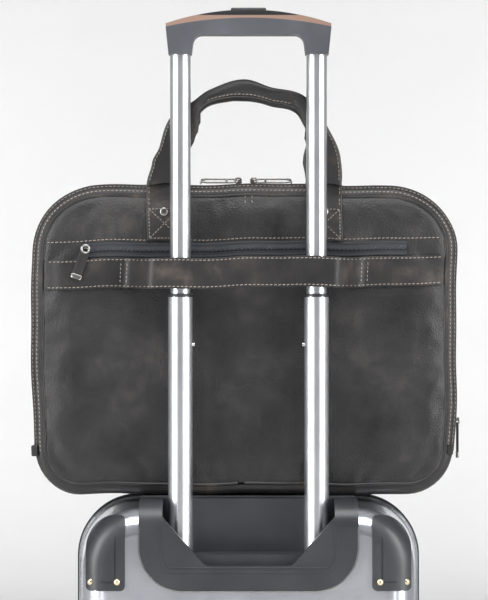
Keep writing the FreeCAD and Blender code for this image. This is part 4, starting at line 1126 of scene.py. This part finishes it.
HANDLE_CENTRE = handle_low.z + 0.012
OUTER = (
    (-9, 0.1010), (9, 0.1000), (27, 0.0972), (50, 0.0990), (73, 0.0905), (90, 0.0945),
    (113, 0.0910), (126, 0.0890), (144, 0.0938), (164, 0.0905), (175, 0.0950), (189, 0.1010),
)
INNER = (
    (-9, 0.0640), (11, 0.0618), (31, 0.0728), (38, 0.0800), (50, 0.0835), (70, 0.0762),
    (90, 0.0764), (101, 0.0776), (118, 0.0800), (124, 0.0790), (130, 0.0705), (138, 0.0650),
    (148, 0.0620), (165, 0.0625), (189, 0.0665),
)


def table(rows, angle):
    """A number read off a table that rises in angle, eased between its rows."""
    for (a, ra), (b, rb) in zip(rows, rows[1:]):
        if angle <= b:
            return ra + (rb - ra) * ease(angle, a, b)
    return rows[-1][1]


def handle_station(turn, y, side, reach):
    """Across the handle at an angle round its arch: flat wide legs, and a folded top."""
    away = Vector((math.cos(math.radians(turn)), 0, math.sin(math.radians(turn))))
    hub = Vector((bag_mid, 0, HANDLE_CENTRE))
    outer = hub + away * table(OUTER, turn) * reach
    inner = hub + away * table(INNER, turn) * reach
    centre = (outer + inner) / 2
    across = (outer - inner) / 2
    rolled = 1 - ease(abs(turn - 90), 30, 62)
    thick = 0.0032 + 0.0028 * rolled
    pinch = math.exp(-(((turn - 131) / 6) ** 2)) + math.exp(-(((turn - 47) / 7) ** 2))
    wave = 0.0010 * math.sin(math.radians(turn * 3.1)) + side * 0.0010 * pinch

    def place(u, v):
        twist = 0.30 * rolled * math.sin(u * 2.6 + turn * 0.05)
        fold = 0.35 * pinch * math.cos(u * 7)
        return centre + across * u + Vector((0, y + wave + (v + twist + fold) * thick, 0))

    return place


def handle_section(sides=28):
    """From -1 to 1 each way: a folded strap with a rolled edge at each side."""
    points = []
    for u, v in oval(2.0, 2.0, 5.0, sides):
        roll = 0.10 * math.exp(-(((abs(u) - 0.86) / 0.10) ** 2))
        points.append((u, v * (0.92 + roll)))
    return points


FOOT_TURN = 188.2
for body, node, y, side, reach in (
    ("rear_handle_loop", "rear_handle", (handle_low.y + handle_high.y) / 2, -1, 1.0),
    ("front_handle_loop", "front_handle", sum(c.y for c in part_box("front_handle")) / 2, 1, 1.025),
):
    steps = 84
    turns = [FOOT_TURN + (180 - 2 * FOOT_TURN) * step / steps for step in range(steps + 1)]
    stations = [handle_station(turn, y, side, reach) for turn in turns]
    piece = sweep(f"folded_{node}", handle_section(), stations)
    done(smooth(piece, 60), body, soft_leather, "leather", node)
    rows = []
    for label, u, first, last in (
        ("inner", -0.72, 118, 55), ("left_edge", 0.82, 186, 146), ("right_edge", 0.82, 34, -6),
    ):
        points = []
        for step in range(41):
            turn = first + (last - first) * step / 40
            points.append(handle_station(turn, y, side, reach)(u, side))
        spots = [(p, along, Vector((0, side, 0))) for p, along in measured(points, 0.0041)]
        rows.append(stitches(f"{node}_{label}", spots, 0.0031, 0.0008))
    done(joined(f"{node}_stitching", rows), body, thread, "leather")

# ---------------------------------------------------------------- pulls


def wire(name, radius, points, sides=10):
    """A round wire through points, with closed ends."""
    places = [Vector(p) for p in points]
    stations = []
    for index, spot in enumerate(places):
        run = places[min(index + 1, len(places) - 1)] - places[max(index - 1, 0)]
        run.normalize()
        level = Vector((0, 1, 0)) if abs(run.y) < 0.9 else Vector((1, 0, 0))
        across = run.cross(level).normalized()
        rise = across.cross(run)
        stations.append(lambda u, v, s=spot, a=across, r=rise: s + a * u + r * v)
    return sweep(name, oval(2 * radius, 2 * radius, 2, sides), stations)


def ring_points(centre, radius, first, last, steps=20):
    """Points on an arc in the upright plane across the case."""
    return [
        Vector((
            centre[0] + radius * math.cos(math.radians(first + (last - first) * s / steps)),
            centre[1],
            centre[2] + radius * math.sin(math.radians(first + (last - first) * s / steps)),
        ))
        for s in range(steps + 1)
    ]


for hand, toward in (("left", -1), ("right", 1)):
    low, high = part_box(f"main_puller_{hand}")
    y = (low.y + high.y) / 2
    root = high.x if toward < 0 else low.x
    tip = low.x if toward < 0 else high.x
    z = (low.z + high.z) / 2 + 0.0004
    near = root + toward * 0.004
    parts = []
    for lift in (-0.0017, 0.0017):
        parts.append(wire(
            f"{hand}_rail_{lift}", 0.0010,
            [(near, y, z + lift * 0.6), (near + toward * 0.006, y, z + lift),
             (tip - toward * 0.006, y, z + lift), (tip - toward * 0.001, y, z + lift * 0.5)],
        ))
    hook = [(tip - toward * 0.005, y, z + 0.0016), (tip - toward * 0.001, y, z + 0.0010),
            (tip, y, z - 0.0012), (tip - toward * 0.0006, y, z - 0.0034)]
    parts.append(wire(f"{hand}_hook", 0.0012, hook))
    parts.append(wire(f"{hand}_ring", 0.0011, ring_points((near, y, z), 0.0030, 0, 354, 18)))
    parts.append(wire(f"{hand}_waist", 0.0012, [
        (near + toward * 0.012, y, z - 0.0015), (near + toward * 0.012, y, z + 0.0015)
    ]))
    piece = smooth(joined(f"framed_pull_{hand}", parts), 50)
    done(piece, f"main_pull_{hand}", chrome, "hardware", f"main_puller_{hand}")

low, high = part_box("pocket_puller")
eye_spot = Vector((high.x - 0.0040, low.y + 0.0010, high.z - 0.0036))
foot = Vector((low.x + 0.0068, low.y + 0.0010, low.z + 0.0030))
hang = (foot - eye_spot).normalized()
side_on = Vector((hang.z, 0, -hang.x)) * -1


def tag(name, start, run, across, length, wide, thick, finish_of, body, slot, *nodes):
    """A flat tag with rounded ends that hangs from a place along a run."""
    face = run.cross(across).normalized()
    outline = oval(wide, thick, 6.0, 20)
    stations = []
    for share in (0.0, 0.03, 0.10, 0.5, 0.94, 0.985, 1.0):
        fit = min(1.0, 0.62 + share * 5, 0.7 + (1 - share) * 12)
        middle_of = start + run * (length * share)
        stations.append(
            lambda u, v, m=middle_of, f=fit: m + across * (u * f) + face * (v * min(1.0, f + 0.1))
        )
    piece = smooth(sweep(name, outline, stations), 45)
    return done(piece, body, finish_of, slot, *nodes)


ring = wire(
    "pocket_ring", 0.0011,
    [Vector((p.x, eye_spot.y - 0.0008, p.z)) for p in ring_points(eye_spot, 0.0040, 0, 354, 20)],
)
done(smooth(ring, 50), "pocket_pull", chrome, "hardware", "pocket_puller")
tag("pocket_tag", eye_spot + hang * 0.002, hang, side_on, 0.0265, 0.0100, 0.0024,
    soft_leather, "pocket_pull", "leather")
tag("pocket_tag_tip", eye_spot + hang * 0.0272, hang, side_on, 0.0050, 0.0110, 0.0032,
    chrome, "pocket_pull", "hardware")

low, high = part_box("side_puller")
top_spot = Vector(((low.x + high.x) / 2, (low.y + high.y) / 2, high.z - 0.006))
down = Vector((0, 0, -1))
fore = Vector((0, 1, 0))
tag("side_tag", top_spot, down, fore, 0.0300, 0.0066, 0.0026,
    soft_leather, "side_pull", "leather", "side_puller")
tag("side_tag_tip", top_spot + down * 0.0300, down, fore, 0.0070, 0.0072, 0.0034,
    chrome, "side_pull", "hardware")
ring = wire(
    "side_ring", 0.0009,
    [Vector((top_spot.x + 0.0020 * math.sin(math.radians(a)), top_spot.y,
             top_spot.z + 0.0016 + 0.0034 * math.cos(math.radians(a)))) for a in range(0, 351, 18)],
)
done(smooth(ring, 50), "side_pull", chrome, "hardware")

# ---------------------------------------------------------------- seams on the bag's top

spots = []
for aside in (-0.0035, 0.0035):
    x = bag_mid + 0.0045 + aside
    ends = [Vector((x, 0, panel_high.z + rise)) for rise in (-0.008, 0.002)]
    spots += seam(ends, (0, -1, 0))
done(
    lay_stitches("middle_bar_rows", spots, back_skin, 0.0004, -1), "bag", thread, "leather"
)
tabs_of_side = []
for sign in (-1, 1):
    x = bag_mid + sign * (bag_half - 0.0012)
    piece = block(
        f"cross_tab_{sign}",
        (x - 0.0052, gusset_low.y - 0.0004, seam_z - 0.004),
        (x + 0.0012, gusset_low.y + 0.0210, seam_z + 0.007), 0.0012, 2,
    )
    tabs_of_side.append(soften(piece))
done(smooth(joined("cross_tabs", tabs_of_side), 40), "bag", soft_leather, "leather")

# ---------------------------------------------------------------- case details

rim_low, rim_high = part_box("rim_bindings")
CASE_CORNER = 0.063


def case_line(inset, y, spacing=0.006):
    """Points round the case's outline with the direction away from it."""
    low, high = rim_low, rim_high
    line = []
    radius = CASE_CORNER - inset
    for x, z, first in (
        (high.x - CASE_CORNER, low.z + CASE_CORNER, -90),
        (high.x - CASE_CORNER, high.z - CASE_CORNER, 0),
        (low.x + CASE_CORNER, high.z - CASE_CORNER, 90),
        (low.x + CASE_CORNER, low.z + CASE_CORNER, 180),
    ):
        for step in range(15):
            turn = math.radians(first + 90 * step / 14)
            away = Vector((math.cos(turn), 0, math.sin(turn)))
            line.append((Vector((x, y, z)) + away * radius, away))
    spots = []
    for (a, na), (b, nb) in zip(line, line[1:] + line[:1]):
        parts = max(1, round((b - a).length / spacing))
        spots += [(a.lerp(b, p / parts), na.lerp(nb, p / parts).normalized()) for p in range(parts)]
    return spots


def round_the_case(spot):
    place, away = spot
    return lambda u, v: place + away * u + Vector((0, v, 0))


for side, label in ((-1, "rear"), (1, "front")):
    line = case_line(0.0022, side * 0.0135)
    stations = [round_the_case(spot) for spot in line]
    bead = sweep(f"{label}_rim_bead", oval(0.0016, 0.0016, 2, 8), stations, True)
    done(smooth(bead), "case", steel, "steel")

points = [place for place, away in case_line(0.0006, 0.0)]
normals = {tuple(place): away for place, away in case_line(0.0006, 0.0)}
teeth = []
for place, along in measured(points + points[:1], 0.0026):
    nearest = min(points, key=lambda p: (p - place).length_squared)
    teeth.append((place, along, normals[tuple(nearest)]))
piece = zip_teeth("case_zip_teeth", teeth, 0.0026, 0.0026, 0.0014)
done(piece, "case", coil_finish, "tape")


def edge_bead(name, loop, radius, finish_of, slot, closed):
    """A fine round bead along a line of places on a flat back face."""
    stations = []
    for index, spot in enumerate(loop):
        before = loop[index - 1] if index or closed else spot
        after = loop[(index + 1) % len(loop)] if index + 1 < len(loop) or closed else spot
        run = (after - before).normalized()
        across = Vector((run.z, 0, -run.x)).normalized()
        stations.append(lambda u, v, s=spot, a=across: s + a * u + Vector((0, v, 0)))
    piece = sweep(name, oval(2 * radius, 2 * radius, 2, 8), stations, closed)
    return done(smooth(piece), "case", finish_of, slot)


bezel_low, bezel_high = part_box("trolley_bezel")
bezel_face = bezel_low.y


def down_the_side(sign):
    """The bezel's outer edge, from its shoulder to the middle of its lower edge."""
    radius = 0.045
    x = bezel_high.x
    points = [Vector((sign * x, bezel_face, bezel_high.z - 0.026 - 0.002 * k)) for k in range(6)]
    centre = Vector((sign * (x - radius), bezel_face, bezel_low.z + radius))
    for step in range(13):
        turn = math.radians(-90 * step / 12)
        points.append(centre + Vector((sign * math.cos(turn), 0, math.sin(turn))) * radius)
    return points


right_side = down_the_side(1)
left_side = down_the_side(-1)
outline = right_side + left_side[::-1]
edge_bead("bezel_outline_bead", outline, 0.0008, chrome, "steel", False)
for inset, name in ((0.020, "outer"), (0.0245, "inner")):
    ridge = [
        Vector((p.x - math.copysign(inset, p.x), bezel_face, max(p.z, bezel_low.z + inset)))
        for p in outline if abs(p.x) > 0.05
    ]
    edge_bead(f"bezel_ridge_{name}", ridge, 0.0007, plastic, "bezel", False)

# ---------------------------------------------------------------- studio

deselect()
FLOOR_BACK = 5.0
CURVE = 4.0
bpy.ops.mesh.primitive_plane_add(size=20, location=(0, FLOOR_BACK - 10, 0))
floor = bpy.context.active_object
floor.name = "studio_floor"
bpy.ops.object.mode_set(mode="EDIT")
mesh = bmesh.from_edit_mesh(floor.data)
for edge in mesh.edges:
    edge.select = all(vert.co.y > 9 for vert in edge.verts)
for step in range(1, 17):
    turn = math.radians(90 * step / 16)
    last = math.radians(90 * (step - 1) / 16)
    move = (0, CURVE * (math.sin(turn) - math.sin(last)), CURVE * (math.cos(last) - math.cos(turn)))
    bpy.ops.mesh.extrude_region_move(TRANSFORM_OT_translate={"value": move})
bpy.ops.mesh.extrude_region_move(TRANSFORM_OT_translate={"value": (0, 0, 8)})
bpy.ops.object.mode_set(mode="OBJECT")
smooth(settle(floor), 60)
paper = bpy.data.materials.new("pale_paper")
paper.use_nodes = True
paper_nodes = Nodes(paper.node_tree)
paper_surface = paper.node_tree.nodes["Principled BSDF"]
paper_place = paper_nodes.add("ShaderNodeTexCoord")
paper_tone = paper_nodes.noise(paper_place.outputs["Object"], 3.0)
paper_colour = paper_nodes.blend(paper_tone, (0.88, 0.88, 0.88, 1), (0.92, 0.92, 0.92, 1))
paper_nodes.feed(paper_surface, "Base Color", paper_colour)
paper_surface.inputs["Roughness"].default_value = 0.9
floor.data.materials.append(paper)

world = bpy.data.worlds.new("studio")
world.use_nodes = True
world.node_tree.nodes["Background"].inputs[0].default_value = (1.0, 1.0, 1.0, 1.0)
world.node_tree.nodes["Background"].inputs[1].default_value = 0.13
scene.world = world


def softbox(name, place, aim, size, power):
    lamp = bpy.data.lights.new(name, "AREA")
    lamp.shape = "RECTANGLE"
    lamp.size, lamp.size_y = size
    lamp.energy = power
    holder = bpy.data.objects.new(name, lamp)
    scene.collection.objects.link(holder)
    holder.location = place
    holder.rotation_euler = (Vector(aim) - Vector(place)).to_track_quat("-Z", "Y").to_euler()


middle = Vector((0, 0, 0.75))
softbox("left_box", (-2.5, -1.5, 1.4), middle, (0.8, 2.6), 92)
softbox("right_box", (2.5, -1.5, 1.4), middle, (0.8, 2.6), 92)
softbox("left_strip", (-1.5, -3.1, 0.9), middle, (0.35, 2.6), 9)
softbox("right_strip", (1.5, -3.1, 0.9), middle, (0.35, 2.6), 9)
softbox("top_box", (0, -1.4, 3.0), middle, (2.4, 1.4), 80)
softbox("backdrop_left", (-2.6, 5.6, 2.2), (0, 8.4, 1.2), (2.0, 2.0), 62)
softbox("backdrop_right", (2.6, 5.6, 2.2), (0, 8.4, 1.2), (2.0, 2.0), 62)

eye = bpy.data.cameras.new("eye")
eye.sensor_width = 36
eye.lens = 201
eye.clip_start = 0.1
eye.clip_end = 60
viewer = bpy.data.objects.new("eye", eye)
viewer.location = (-0.0046, -3.5, 0.748)
viewer.rotation_euler = (math.pi / 2, 0, 0)
scene.collection.objects.link(viewer)
scene.camera = viewer
scene.view_settings.view_transform = "Standard"
